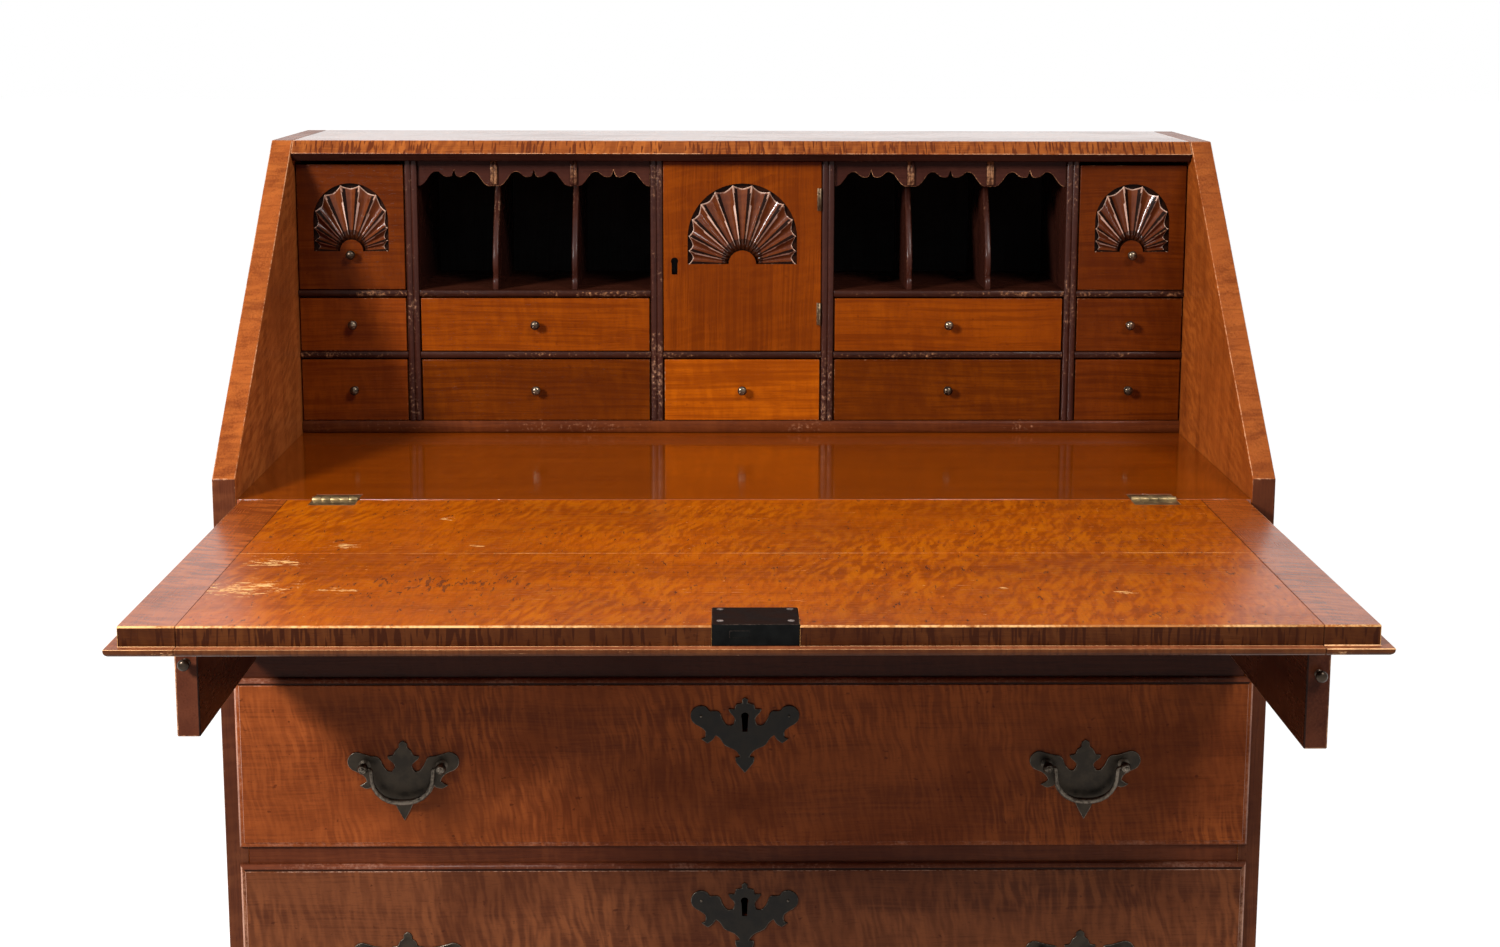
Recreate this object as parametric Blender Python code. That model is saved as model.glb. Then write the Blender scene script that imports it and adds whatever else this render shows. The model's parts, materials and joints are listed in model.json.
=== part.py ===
"""Slant-front desk in figured maple: a case of four long drawers under a fold-down writing lid.

The frame is metres with +Z up. The desk is drawn round its lid's hinge line (Y = 0, Z = 0 at the
writing surface) and then hung on one empty, so that the world origin is on the floor under the
middle of the desk. X runs to the viewer's right and -Y towards the person who sits at the desk.
"""

import math

import bmesh
import bpy
from mathutils import Matrix, Vector

# Case
CASE_WIDTH = 0.914
CASE_DEPTH = 0.497
WRITING_HEIGHT = 0.805
TOP_RISE = 0.290
SLANT_ANGLE = math.radians(41.5)
SIDE_THICKNESS = 0.020
TOP_THICKNESS = 0.0195
TOP_BEVEL_HEIGHT = 0.012
WRITING_BOARD_THICKNESS = 0.020
BOTTOM_THICKNESS = 0.020
BACK_THICKNESS = 0.012
BACK_REBATE = 0.010
BACK_BOARD_SEAM = 0.003
HINGE_SETBACK = 0.001
SEAT_GAP = 0.0003
OVERRUN = 0.004

# Drawer blades, runners and loper pockets
TOP_DRAWER_SHARE = 0.14161
LONG_DRAWER_SHARES = (0.18335, 0.19876, 0.20870)
TOP_BLADE_HEIGHT = 0.027
BLADE_HEIGHT = 0.0222
BLADE_DEPTH = 0.060
DUSTBOARD_THICKNESS = 0.010
LOPER_THICKNESS = 0.018
LOPER_CLEARANCE = 0.0005
POCKET_PARTITION = 0.014
PARTITION_TENON = 0.005

# Lid
LID_THICKNESS = 0.020
LIP_THICKNESS = 0.0055
LIP_ROUND = 0.0042
LIP_SIDE_OVERHANG = 0.0083
LIP_FRONT_OVERHANG = 0.0078
LID_SIDE_GAP = 0.0045
LID_END_GAP = 0.0005
LID_FIT = 0.0005
LIP_START = 0.0035
CLEAT_WIDTH = 0.0395
TONGUE_DEPTH = 0.009
TONGUE_THICKNESS = 0.006
LOCK_WIDTH = 0.060
LOCK_DEPTH = 0.047
LOCK_HEIGHT = 0.0142
LOCK_PROUD = 0.0006
LOCK_OFFSET = 0.003

# Lid hinges
HINGE_WIDTH = 0.039
HINGE_SPACING_SHARE = 0.77024
HINGE_LEAF = 0.021
HINGE_LEAF_THICKNESS = 0.0018
HINGE_BARREL_RADIUS = 0.0026
HINGE_NOTCH_CLEARANCE = 0.0006

# Lopers
LOPER_LENGTH = 0.400
LOPER_HEIGHT_CLEARANCE = 0.0005
LOPER_REACH = {"left": 0.235, "right": 0.269}
LOPER_KNOB_SHARE = 0.48
LOPER_EDGE = 0.0015

# Long drawers
DRAWER_LIP_PROUD = 0.007
DRAWER_LIP_SIDE = 0.0075
DRAWER_LIP_HEIGHT = 0.003
DRAWER_LIP_ROUND = 0.0052
TOP_DRAWER_LIP_SIDE = 0.006
DRAWER_FRONT_THICKNESS = 0.021
DRAWER_SIDE_THICKNESS = 0.011
DRAWER_BOTTOM_THICKNESS = 0.009
DRAWER_SIDE_CLEARANCE = 0.001
DRAWER_TOP_CLEARANCE = 0.0015
DRAWER_SIDE_DROP = 0.005
DRAWER_BACK_GAP = 0.014

# Batwing pulls and escutcheons
PULL_HALF_WIDTH_SHARE = 0.7211
PULL_HEIGHT_SHARE = 1.0757
PULL_LOBE_SHARE = 0.1276
POST_DROP = 0.0220
PLATE_THICKNESS = 0.0014
ESCUTCHEON_HALF_WIDTH = 0.0474
ESCUTCHEON_HEIGHT = 0.0684
ESCUTCHEON_LOBE_RADIUS = 0.0092
ESCUTCHEON_DROP = 0.0160
KEYHOLE_DROP = 0.0134
KEYHOLE_RADIUS = 0.0034
KEYHOLE_SLOT_WIDTH = 0.0044
KEYHOLE_LENGTH = 0.0175
KEYHOLE_DEPTH = 0.006
PULL_SPACING_SHARE = 0.65208
POST_SPACING = 0.0674
POST_REACH = 0.0100
POST_NECK_RADIUS = 0.0026
POST_HEAD_RADIUS = 0.0048
POST_SOCKET_RADIUS = 0.0020
POST_SOCKET_DEPTH = 0.0040
BAIL_PIN_RADIUS = 0.0015
BAIL_PIN_DEPTH = 0.0032
BAIL_NECK = 0.0075
BAIL_DROP = 0.0300
BAIL_END_RADIUS = 0.0018
BAIL_ROD_RADIUS = 0.0025
LOBE_START = math.radians(120)
LOBE_END = math.radians(-60)
LOBE_STEPS = 6

# Small knobs
KNOB_BASE_RADIUS = 0.0032
KNOB_STEM_RADIUS = 0.0018
KNOB_HEAD_RADIUS = 0.0046
KNOB_LENGTH = 0.0110
KNOB_SEAT = 0.0010

# Base moulding and bracket feet
MOULDING_HEIGHT = 0.032
MOULDING_PROJECTION = 0.012
MOULDING_FLANGE = 0.040
MOULDING_TOP_DROP = 0.006
FOOT_WIDTH = 0.150
FOOT_THICKNESS = 0.020
FOOT_SETBACK = 0.002

# Gallery of drawers and pigeonholes
GALLERY_SETBACK = 0.3124
GALLERY_PLINTH_HEIGHT = 0.012
GALLERY_PARTITION_THICKNESS = 0.012
GALLERY_CENTRE_SHARE = 0.17112
GALLERY_BAY_SHARE = 0.24923
GALLERY_SHELF_THICKNESS = 0.0066
LOWER_ROW_HEIGHT = 0.0630
MIDDLE_ROW_HEIGHT = 0.0545
BEAD_PROUD = 0.0016
DIVIDER_THICKNESS = 0.006
DIVIDER_RECESS = 0.038
DIVIDER_FOOT_RECESS = 0.003
VALANCE_DROP = 0.0250
VALANCE_THICKNESS = 0.006
VALANCE_SETBACK = 0.0030
VALANCE_TIP_WIDTH = 0.0064
VALANCE_TIP_HEIGHT = 0.0230

# Gallery drawers
SMALL_CLEARANCE = 0.0006
SMALL_FRONT_THICKNESS = 0.009
SMALL_SIDE_THICKNESS = 0.005
SMALL_BOTTOM_THICKNESS = 0.0045
SMALL_SIDE_DROP = 0.002
SMALL_BACK_GAP = 0.010
FAN_DRAWER_TOP_GAP = 0.0030

# Carved fans
FAN_RECESS = 0.0032
FAN_EMBED = 0.0010
FAN_RIDGE = 0.0030
FAN_FLUTE = 0.0022
FAN_MARGIN = 0.0011
FAN_ARCH_SHARES = {
    "door": {"half_width": 0.344, "stilt": 0.163, "hub": 0.0863},
    "drawer": {"half_width": 0.342, "stilt": 0.280, "hub": 0.1065},
}
FAN_FLUTES = {"door": 13, "drawer": 11}
FAN_RING_SHARES = (0.0, 0.3, 1.0)
FLUTE_START_SHARE = 0.4
DOOR_FAN_RISE = 0.0870
DRAWER_FAN_RISE = 0.0380
DRAWER_FAN_KNOB_DROP = 0.003

# Prospect door
DOOR_THICKNESS = 0.016
DOOR_CLEARANCE = 0.0006
DOOR_AXIS_INSET = 0.0017
DOOR_AXIS_PROUD = 0.0018
DOOR_BARREL_RADIUS = 0.0014
DOOR_BARREL_LENGTH = 0.022
DOOR_HINGE_INSET = 0.026
DOOR_KEYHOLE_INSET = 0.0115
DOOR_KEYHOLE_RISE = 0.0890

# Facets
SMOOTH_ANGLE = math.radians(50)
ROUND_STEPS = 4
KNOB_SIDES = 8
ARC_STEPS = 6
BAIL_SIDES = 6

# Outlines, as shares of the sizes that they follow
PULL_INNER_SHARES = (
    (0.068, 0.034),
    (0.076, 0.083),
    (0.144, 0.124),
    (0.183, 0.179),
    (0.284, 0.193),
    (0.267, 0.226),
    (0.175, 0.283),
    (0.152, 0.324),
    (0.206, 0.386),
    (0.284, 0.375),
    (0.360, 0.313),
    (0.407, 0.241),
    (0.469, 0.200),
    (0.576, 0.190),
)
PULL_OUTER_SHARES = (
    (0.776, 0.407),
    (0.691, 0.458),
    (0.660, 0.505),
    (0.722, 0.537),
    (0.792, 0.561),
    (0.685, 0.597),
    (0.576, 0.582),
    (0.545, 0.561),
    (0.484, 0.644),
    (0.329, 0.748),
    (0.160, 0.783),
    (0.152, 0.800),
    (0.113, 0.861),
)
PULL_LOBE_SHARES = (0.823, 0.262)
ESCUTCHEON_INNER_SHARES = (
    (0.055, 0.026),
    (0.046, 0.072),
    (0.162, 0.089),
    (0.188, 0.152),
    (0.304, 0.152),
    (0.278, 0.196),
    (0.188, 0.276),
    (0.213, 0.357),
    (0.316, 0.365),
    (0.407, 0.294),
    (0.458, 0.205),
    (0.523, 0.175),
    (0.639, 0.178),
)
ESCUTCHEON_OUTER_SHARES = (
    (0.831, 0.385),
    (0.730, 0.446),
    (0.730, 0.526),
    (0.806, 0.548),
    (0.690, 0.607),
    (0.599, 0.563),
    (0.536, 0.500),
    (0.458, 0.544),
    (0.369, 0.633),
    (0.188, 0.696),
    (0.112, 0.750),
    (0.084, 0.785),
    (0.175, 0.794),
    (0.162, 0.857),
    (0.097, 0.920),
)
ESCUTCHEON_LOBE_SHARES = (0.806, 0.241)
OGEE_SHARES = (
    (1.00, 0.00),
    (1.00, 0.30),
    (0.94, 0.36),
    (0.86, 0.50),
    (0.70, 0.62),
    (0.48, 0.70),
    (0.34, 0.78),
    (0.26, 0.88),
    (0.26, 0.94),
    (0.12, 1.00),
)
FOOT_SHARES = (
    (0.40, 0.00),
    (0.44, 0.14),
    (0.43, 0.30),
    (0.47, 0.44),
    (0.55, 0.52),
    (0.62, 0.52),
    (0.64, 0.60),
    (0.70, 0.66),
    (0.80, 0.70),
    (0.92, 0.78),
    (1.00, 0.90),
    (1.00, 1.00),
)
DIVIDER_SHARES = (
    (0.00, 0.00),
    (0.08, 0.00),
    (0.10, 0.14),
    (0.14, 0.09),
    (0.28, 0.12),
    (0.42, 0.27),
    (0.56, 0.55),
    (0.68, 0.82),
    (0.80, 1.00),
)
VALANCE_SHARES = (
    (1.00, 1.00),
    (0.90, 1.00),
    (0.76, 0.84),
    (0.66, 0.62),
    (0.54, 0.47),
    (0.44, 0.45),
    (0.35, 0.52),
    (0.25, 0.63),
    (0.13, 0.64),
    (0.04, 0.57),
    (0.00, 0.38),
)
KNOB_SHARES = (
    (0.70, 0.10),
    (0.39, 0.20),
    (0.39, 0.42),
    (0.85, 0.56),
    (1.00, 0.74),
    (0.72, 0.94),
)
BAIL_TURN_SHARE = 0.36
BAIL_BOW_SHARE = 0.8

WOOD = {
    "curly_maple": ((0.43, 0.150, 0.040), 0.30),
    "maple_inside": ((0.50, 0.185, 0.045), 0.32),
    "dark_gallery": ((0.060, 0.022, 0.013), 0.42),
    "secondary_wood": ((0.42, 0.26, 0.12), 0.70),
}
METAL = {
    "old_brass": ((0.090, 0.070, 0.045), 0.42),
    "lock_iron": ((0.018, 0.012, 0.011), 0.50),
}

# Places that follow from the sizes above
case_front = -HINGE_SETBACK
case_back = case_front + CASE_DEPTH
back_inner = case_back - BACK_THICKNESS - SEAT_GAP
half_width = CASE_WIDTH / 2
side_inner = half_width - SIDE_THICKNESS
inner_half = side_inner - SEAT_GAP
top_underside = TOP_RISE - TOP_THICKNESS
lip_shoulder = LID_THICKNESS - LIP_THICKNESS
slant_offset = lip_shoulder - SEAT_GAP
rebate_height = TOP_RISE - TOP_BEVEL_HEIGHT
slant_cos = math.cos(SLANT_ANGLE)
slant_sin = math.sin(SLANT_ANGLE)
lid_length = (rebate_height - slant_offset * slant_cos) / slant_sin - LID_FIT
lid_half = side_inner - LID_SIDE_GAP
lid_front = -(lid_length + LIP_FRONT_OVERHANG)
gallery_front = case_front + GALLERY_SETBACK
pocket_inner = side_inner - LOPER_THICKNESS - 2 * LOPER_CLEARANCE
partition_inner = pocket_inner - POCKET_PARTITION
long_lip_back = case_front - SEAT_GAP
long_lip_front = long_lip_back - DRAWER_LIP_PROUD


def opening_levels():
    """The lower and upper height of each long drawer's opening, from the top drawer down."""
    upper = -WRITING_BOARD_THICKNESS
    levels = [(upper - WRITING_HEIGHT * TOP_DRAWER_SHARE, upper)]
    blade = TOP_BLADE_HEIGHT
    for share in LONG_DRAWER_SHARES:
        upper = levels[-1][0] - blade
        levels.append((upper - WRITING_HEIGHT * share, upper))
        blade = BLADE_HEIGHT
    return levels


drawer_levels = opening_levels()
case_bottom = drawer_levels[-1][0] - BOTTOM_THICKNESS
moulding_top = drawer_levels[-1][0] - MOULDING_TOP_DROP
moulding_bottom = moulding_top - MOULDING_HEIGHT
foot_top = moulding_bottom - SEAT_GAP
floor = -WRITING_HEIGHT

plinth_top = SEAT_GAP + GALLERY_PLINTH_HEIGHT
lower_shelf = plinth_top + LOWER_ROW_HEIGHT
lower_shelf_top = lower_shelf + GALLERY_SHELF_THICKNESS
upper_shelf = lower_shelf_top + MIDDLE_ROW_HEIGHT
upper_shelf_top = upper_shelf + GALLERY_SHELF_THICKNESS
gallery_top = top_underside - SEAT_GAP
centre_width = CASE_WIDTH * GALLERY_CENTRE_SHARE
centre_half = centre_width / 2
bay_width = CASE_WIDTH * GALLERY_BAY_SHARE
bay_inner = centre_half + GALLERY_PARTITION_THICKNESS
bay_outer = bay_inner + bay_width
stack_inner = bay_outer + GALLERY_PARTITION_THICKNESS
stack_width = inner_half - stack_inner
hinge_spacing = CASE_WIDTH * HINGE_SPACING_SHARE
pull_spacing = CASE_WIDTH * PULL_SPACING_SHARE
pull_half_width = POST_SPACING * PULL_HALF_WIDTH_SHARE
pull_height = POST_SPACING * PULL_HEIGHT_SHARE
pull_lobe_radius = POST_SPACING * PULL_LOBE_SHARE


def slant_y(z):
    """Where the slanted front stands at height z."""
    return (z * slant_cos - slant_offset) / slant_sin


def slant_z(y):
    """How high the slanted front is at depth y."""
    return (slant_offset + y * slant_sin) / slant_cos


def clear_scene():
    """Removes whatever the scene already holds."""
    for obj in list(bpy.data.objects):
        bpy.data.objects.remove(obj, do_unlink=True)


def make_materials():
    """One Principled material for each finish."""
    made = {}
    finishes = [(name, look, 0.0) for name, look in WOOD.items()]
    finishes += [(name, look, 1.0) for name, look in METAL.items()]
    for name, (colour, roughness), metallic in finishes:
        material = bpy.data.materials.new(name)
        material.use_nodes = True
        shader = material.node_tree.nodes["Principled BSDF"]
        shader.inputs["Base Color"].default_value = (*colour, 1.0)
        shader.inputs["Roughness"].default_value = roughness
        shader.inputs["Metallic"].default_value = metallic
        material.diffuse_color = (*colour, 1.0)
        made[name] = material
    return made


def block(low, high):
    """A rectangular block between two corners."""
    low, high = Vector(low), Vector(high)
    bm = bmesh.new()
    bmesh.ops.create_cube(bm, size=1)
    bmesh.ops.scale(bm, vec=high - low, verts=bm.verts)
    bmesh.ops.translate(bm, vec=(low + high) / 2, verts=bm.verts)
    return bm


def prism(outline, axis, low, high):
    """An outline in the two other axes, carried along axis from low to high."""
    across = "XYZ".index(axis)
    bm = bmesh.new()
    verts = []
    for first, second in outline:
        point = [first, second]
        point.insert(across, low)
        verts.append(bm.verts.new(point))
    face = bm.faces.new(verts)
    grown = bmesh.ops.extrude_face_region(bm, geom=[face])
    step = Vector((0, 0, 0))
    step[across] = high - low
    moved = [v for v in grown["geom"] if isinstance(v, bmesh.types.BMVert)]
    bmesh.ops.translate(bm, vec=step, verts=moved)
    bmesh.ops.recalc_face_normals(bm, faces=bm.faces)
    return bm


def turned(profile, sides):
    """A turned piece about the -Y axis: the profile gives radius and reach in front of the seat."""
    bm = bmesh.new()
    verts = [bm.verts.new((radius, -reach, 0)) for radius, reach in profile]
    edges = [bm.edges.new(pair) for pair in zip(verts, verts[1:])]
    bmesh.ops.spin(
        bm,
        geom=verts + edges,
        cent=(0, 0, 0),
        axis=(0, 1, 0),
        angle=2 * math.pi,
        steps=sides,
        use_merge=True,
    )
    bmesh.ops.remove_doubles(bm, verts=bm.verts, dist=SEAT_GAP / 100)
    bmesh.ops.recalc_face_normals(bm, faces=bm.faces)
    return bm


def moved(bm, offset):
    """The shape, shifted by offset."""
    bmesh.ops.translate(bm, vec=Vector(offset), verts=bm.verts)
    return bm


def round_edges(bm, chosen, width):
    """Rounds the edges that chosen picks by their two ends."""
    edges = [e for e in bm.edges if chosen(e.verts[0].co, e.verts[1].co)]
    bmesh.ops.bevel(
        bm,
        geom=edges,
        offset=width,
        segments=ROUND_STEPS,
        profile=0.5,
        affect="EDGES",
        material=-1,
    )
    return bm


def scratch_object(bm):
    """A linked object that holds bm, for a Boolean."""
    mesh = bpy.data.meshes.new("scratch")
    bm.to_mesh(mesh)
    bm.free()
    obj = bpy.data.objects.new("scratch", mesh)
    bpy.context.scene.collection.objects.link(obj)
    return obj


def boolean(first, second, operation):
    """Combines two closed shapes with the exact solver."""
    target, other = scratch_object(first), scratch_object(second)
    modifier = target.modifiers.new("combine", "BOOLEAN")
    modifier.operation = operation
    modifier.solver = "EXACT"
    modifier.object = other
    depsgraph = bpy.context.evaluated_depsgraph_get()
    mesh = bpy.data.meshes.new_from_object(target.evaluated_get(depsgraph))
    result = bmesh.new()
    result.from_mesh(mesh)
    for obj in (target, other):
        data = obj.data
        bpy.data.objects.remove(obj, do_unlink=True)
        bpy.data.meshes.remove(data)
    bpy.data.meshes.remove(mesh)
    return result


def union(first, *others):
    """Everything joined into one body."""
    for other in others:
        first = boolean(first, other, "UNION")
    return first


def cut(first, *others):
    """The first shape with the others taken away."""
    for other in others:
        first = boolean(first, other, "DIFFERENCE")
    return first


class Desk:
    """Adds named pieces to the desk's empty, each with its own finish."""

    def __init__(self, materials):
        self.materials = materials
        self.frame = bpy.data.objects.new("desk_frame", None)
        bpy.context.scene.collection.objects.link(self.frame)
        middle = (lid_front + case_back) / 2
        self.frame.location = (0, -middle, WRITING_HEIGHT)

    def add(self, name, bm, finish, origin=(0, 0, 0)):
        """One piece, drawn in the desk's frame, with its own origin at a joint or seat."""
        origin = Vector(origin)
        bmesh.ops.translate(bm, vec=-origin, verts=bm.verts)
        mesh = bpy.data.meshes.new(name)
        bm.to_mesh(mesh)
        bm.free()
        mesh.shade_smooth()
        mesh.set_sharp_from_angle(angle=SMOOTH_ANGLE)
        material = self.materials[finish].copy()
        material.name = name
        mesh.materials.clear()
        mesh.materials.append(material)
        obj = bpy.data.objects.new(name, mesh)
        bpy.context.scene.collection.objects.link(obj)
        obj.parent = self.frame
        obj.location = origin
        return obj


def build_case(desk):
    """Sides, top, back boards, bottom and writing board."""
    outline = [
        (case_front, case_bottom),
        (case_back, case_bottom),
        (case_back, TOP_RISE),
        (slant_y(TOP_RISE), TOP_RISE),
        (case_front, slant_z(case_front)),
    ]
    rebate_depth = BACK_THICKNESS + SEAT_GAP
    for name, sign in (("side_left", -1), ("side_right", 1)):
        low, high = sorted((sign * side_inner, sign * half_width))
        side = prism(outline, "X", low, high)
        x_low, x_high = sorted(
            (sign * (side_inner - OVERRUN), sign * (side_inner + BACK_REBATE))
        )
        rebate = block(
            (x_low, case_back - rebate_depth, case_bottom - OVERRUN),
            (x_high, case_back + OVERRUN, top_underside),
        )
        desk.add(name, cut(side, rebate), "curly_maple")

    rebate_y = slant_y(rebate_height)
    inward = (rebate_height - top_underside) * math.tan(SLANT_ANGLE)
    top = prism(
        [
            (slant_y(TOP_RISE), TOP_RISE),
            (case_back, TOP_RISE),
            (case_back, top_underside),
            (rebate_y + inward, top_underside),
            (rebate_y, rebate_height),
        ],
        "X",
        -inner_half,
        inner_half,
    )
    desk.add("top_board", top, "curly_maple")

    back_half = side_inner + BACK_REBATE - SEAT_GAP
    back = block(
        (-back_half, case_back - BACK_THICKNESS, case_bottom),
        (back_half, case_back, gallery_top),
    )
    for seam in (-back_half / 2, 0, back_half / 2):
        groove = prism(
            [
                (seam - BACK_BOARD_SEAM, case_back + BACK_BOARD_SEAM),
                (seam, case_back - BACK_BOARD_SEAM),
                (seam + BACK_BOARD_SEAM, case_back + BACK_BOARD_SEAM),
            ],
            "Z",
            case_bottom - OVERRUN,
            gallery_top + OVERRUN,
        )
        back = cut(back, groove)
    desk.add("back_boards", back, "secondary_wood")

    bottom = block(
        (-inner_half, case_front, case_bottom),
        (inner_half, back_inner, drawer_levels[-1][0]),
    )
    desk.add("bottom_board", bottom, "secondary_wood")

    board = block(
        (-inner_half, LID_END_GAP, -WRITING_BOARD_THICKNESS + SEAT_GAP),
        (inner_half, back_inner, 0),
    )
    desk.add("writing_board", cut(board, *hinge_recesses(1)), "maple_inside")


def hinge_recesses(side):
    """Seats for both lid hinges, in the writing board (side 1) or in the lid (side -1)."""
    seats = []
    half = HINGE_WIDTH / 2 + SEAT_GAP
    radius = HINGE_BARREL_RADIUS + HINGE_NOTCH_CLEARANCE
    for centre in (-hinge_spacing / 2, hinge_spacing / 2):
        circle = [
            (radius * math.cos(a), radius * math.sin(a)) for a in angles(2 * KNOB_SIDES)
        ]
        seats.append(prism(circle, "X", centre - half, centre + half))
        low, high = sorted((0, side * (HINGE_LEAF + SEAT_GAP)))
        seats.append(
            block(
                (centre - half, low, -HINGE_LEAF_THICKNESS - SEAT_GAP),
                (centre + half, high, OVERRUN),
            )
        )
    return seats


def angles(count):
    """Evenly spread angles round a circle."""
    return [2 * math.pi * i / count for i in range(count)]


def build_hinges(desk):
    """The lid's two butt hinges: the leaf let into the writing board, with the barrel."""
    circle = [
        (HINGE_BARREL_RADIUS * math.cos(a), HINGE_BARREL_RADIUS * math.sin(a))
        for a in angles(2 * KNOB_SIDES)
    ]
    for name, sign in (("lid_hinge_left", -1), ("lid_hinge_right", 1)):
        centre = sign * hinge_spacing / 2
        low, high = centre - HINGE_WIDTH / 2, centre + HINGE_WIDTH / 2
        leaf = block((low, 0, -HINGE_LEAF_THICKNESS), (high, HINGE_LEAF, 0))
        hinge = union(leaf, prism(circle, "X", low, high))
        desk.add(name, hinge, "old_brass", (centre, 0, 0))


def loper_walls(level):
    """The two partitions between the top drawer and the lopers, standing on a level."""
    walls = []
    for sign in (-1, 1):
        low, high = sorted((sign * partition_inner, sign * pocket_inner))
        wall = block(
            (low, case_front, level - PARTITION_TENON),
            (high, back_inner, -WRITING_BOARD_THICKNESS),
        )
        walls.append(wall)
    return walls


def build_blades(desk):
    """The three drawer blades with their dustboards; the top one carries the loper pockets."""
    names = ("drawer_blade_upper", "drawer_blade_middle", "drawer_blade_lower")
    blade_back = case_front + BLADE_DEPTH
    for number, name in enumerate(names):
        top = drawer_levels[number][0]
        bottom = drawer_levels[number + 1][1]
        rail_outline = [
            (case_front, bottom),
            (blade_back, bottom),
            (blade_back, top - DUSTBOARD_THICKNESS),
            (back_inner, top - DUSTBOARD_THICKNESS),
            (back_inner, top),
            (case_front, top),
        ]
        frame = prism(rail_outline, "X", -inner_half, inner_half)
        if name == "drawer_blade_upper":
            frame = union(frame, *loper_walls(top))
        desk.add(name, frame, "curly_maple")


def ogee_frame():
    """The base moulding: one ogee section carried round the front and both sides, mitred."""
    section = [(-MOULDING_FLANGE, moulding_bottom)]
    for out_share, up_share in OGEE_SHARES:
        section.append(
            (out_share * MOULDING_PROJECTION, moulding_bottom + up_share * MOULDING_HEIGHT)
        )
    section.append((SEAT_GAP, moulding_top))
    section.append((SEAT_GAP, case_bottom - SEAT_GAP))
    section.append((-MOULDING_FLANGE, case_bottom - SEAT_GAP))
    bm = bmesh.new()
    loops = []
    for x_sign, at_front in ((-1, False), (-1, True), (1, True), (1, False)):
        loop = []
        for out, z in section:
            y = case_front - out if at_front else case_back
            loop.append(bm.verts.new((x_sign * (half_width + out), y, z)))
        loops.append(loop)
    count = len(section)
    for first, second in zip(loops, loops[1:]):
        for i in range(count):
            j = (i + 1) % count
            bm.faces.new((first[i], first[j], second[j], second[i]))
    bm.faces.new(loops[0])
    bm.faces.new(list(reversed(loops[-1])))
    bmesh.ops.recalc_face_normals(bm, faces=bm.faces)
    return bm


def build_base(desk):
    """The base moulding and four bracket feet with scrolled edges."""
    desk.add("base_moulding", ogee_frame(), "curly_maple")
    height = foot_top - floor
    out = MOULDING_PROJECTION - FOOT_SETBACK
    curve = [(share * FOOT_WIDTH, rise * height) for share, rise in FOOT_SHARES]
    outline = [(0, height), (0, 0)] + curve
    outer_x = half_width + out
    front_y = case_front - out
    for x_sign, x_name in ((-1, "left"), (1, "right")):
        for at_front in (True, False):
            across = [(x_sign * (outer_x - u), floor + v) for u, v in outline]
            edge_y = front_y if at_front else case_back
            y_sign = 1 if at_front else -1
            low, high = sorted((edge_y, edge_y + y_sign * FOOT_THICKNESS))
            face = prism(across, "Y", low, high)
            along = [(edge_y + y_sign * u, floor + v) for u, v in outline]
            low, high = sorted((x_sign * outer_x, x_sign * (outer_x - FOOT_THICKNESS)))
            flank = prism(along, "X", low, high)
            place = "front" if at_front else "back"
            desk.add(f"foot_{place}_{x_name}", union(face, flank), "curly_maple")


def lid_slab(x_low, x_high, lip_low, lip_high, rounded_sides):
    """A part of the lid: the inner body with its lipped and rounded outer edge."""
    body = block(
        (x_low, -lid_length, -LID_THICKNESS + LIP_ROUND / 2),
        (x_high, -LID_END_GAP, 0),
    )
    lip_x = (x_low - lip_low, x_high + lip_high)
    start = -LIP_START if rounded_sides else -LID_END_GAP
    slab = block((lip_x[0], lid_front, -LID_THICKNESS), (lip_x[1], start, -lip_shoulder))

    def low_edge(a, b):
        """The lip's lower arrises along the front and the open ends."""
        under = max(a.z, b.z) < -LID_THICKNESS + SEAT_GAP
        front = max(a.y, b.y) < lid_front + SEAT_GAP
        left = lip_low > 0 and max(a.x, b.x) < lip_x[0] + SEAT_GAP
        right = lip_high > 0 and min(a.x, b.x) > lip_x[1] - SEAT_GAP
        return under and (front or left or right)

    slab = round_edges(slab, low_edge, LIP_ROUND)
    if rounded_sides:
        heel = block(
            (x_low, -LIP_START - OVERRUN, -LID_THICKNESS), (x_high, -LID_END_GAP, -LIP_ROUND)
        )
        slab = union(slab, heel)
    return union(body, slab)


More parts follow.
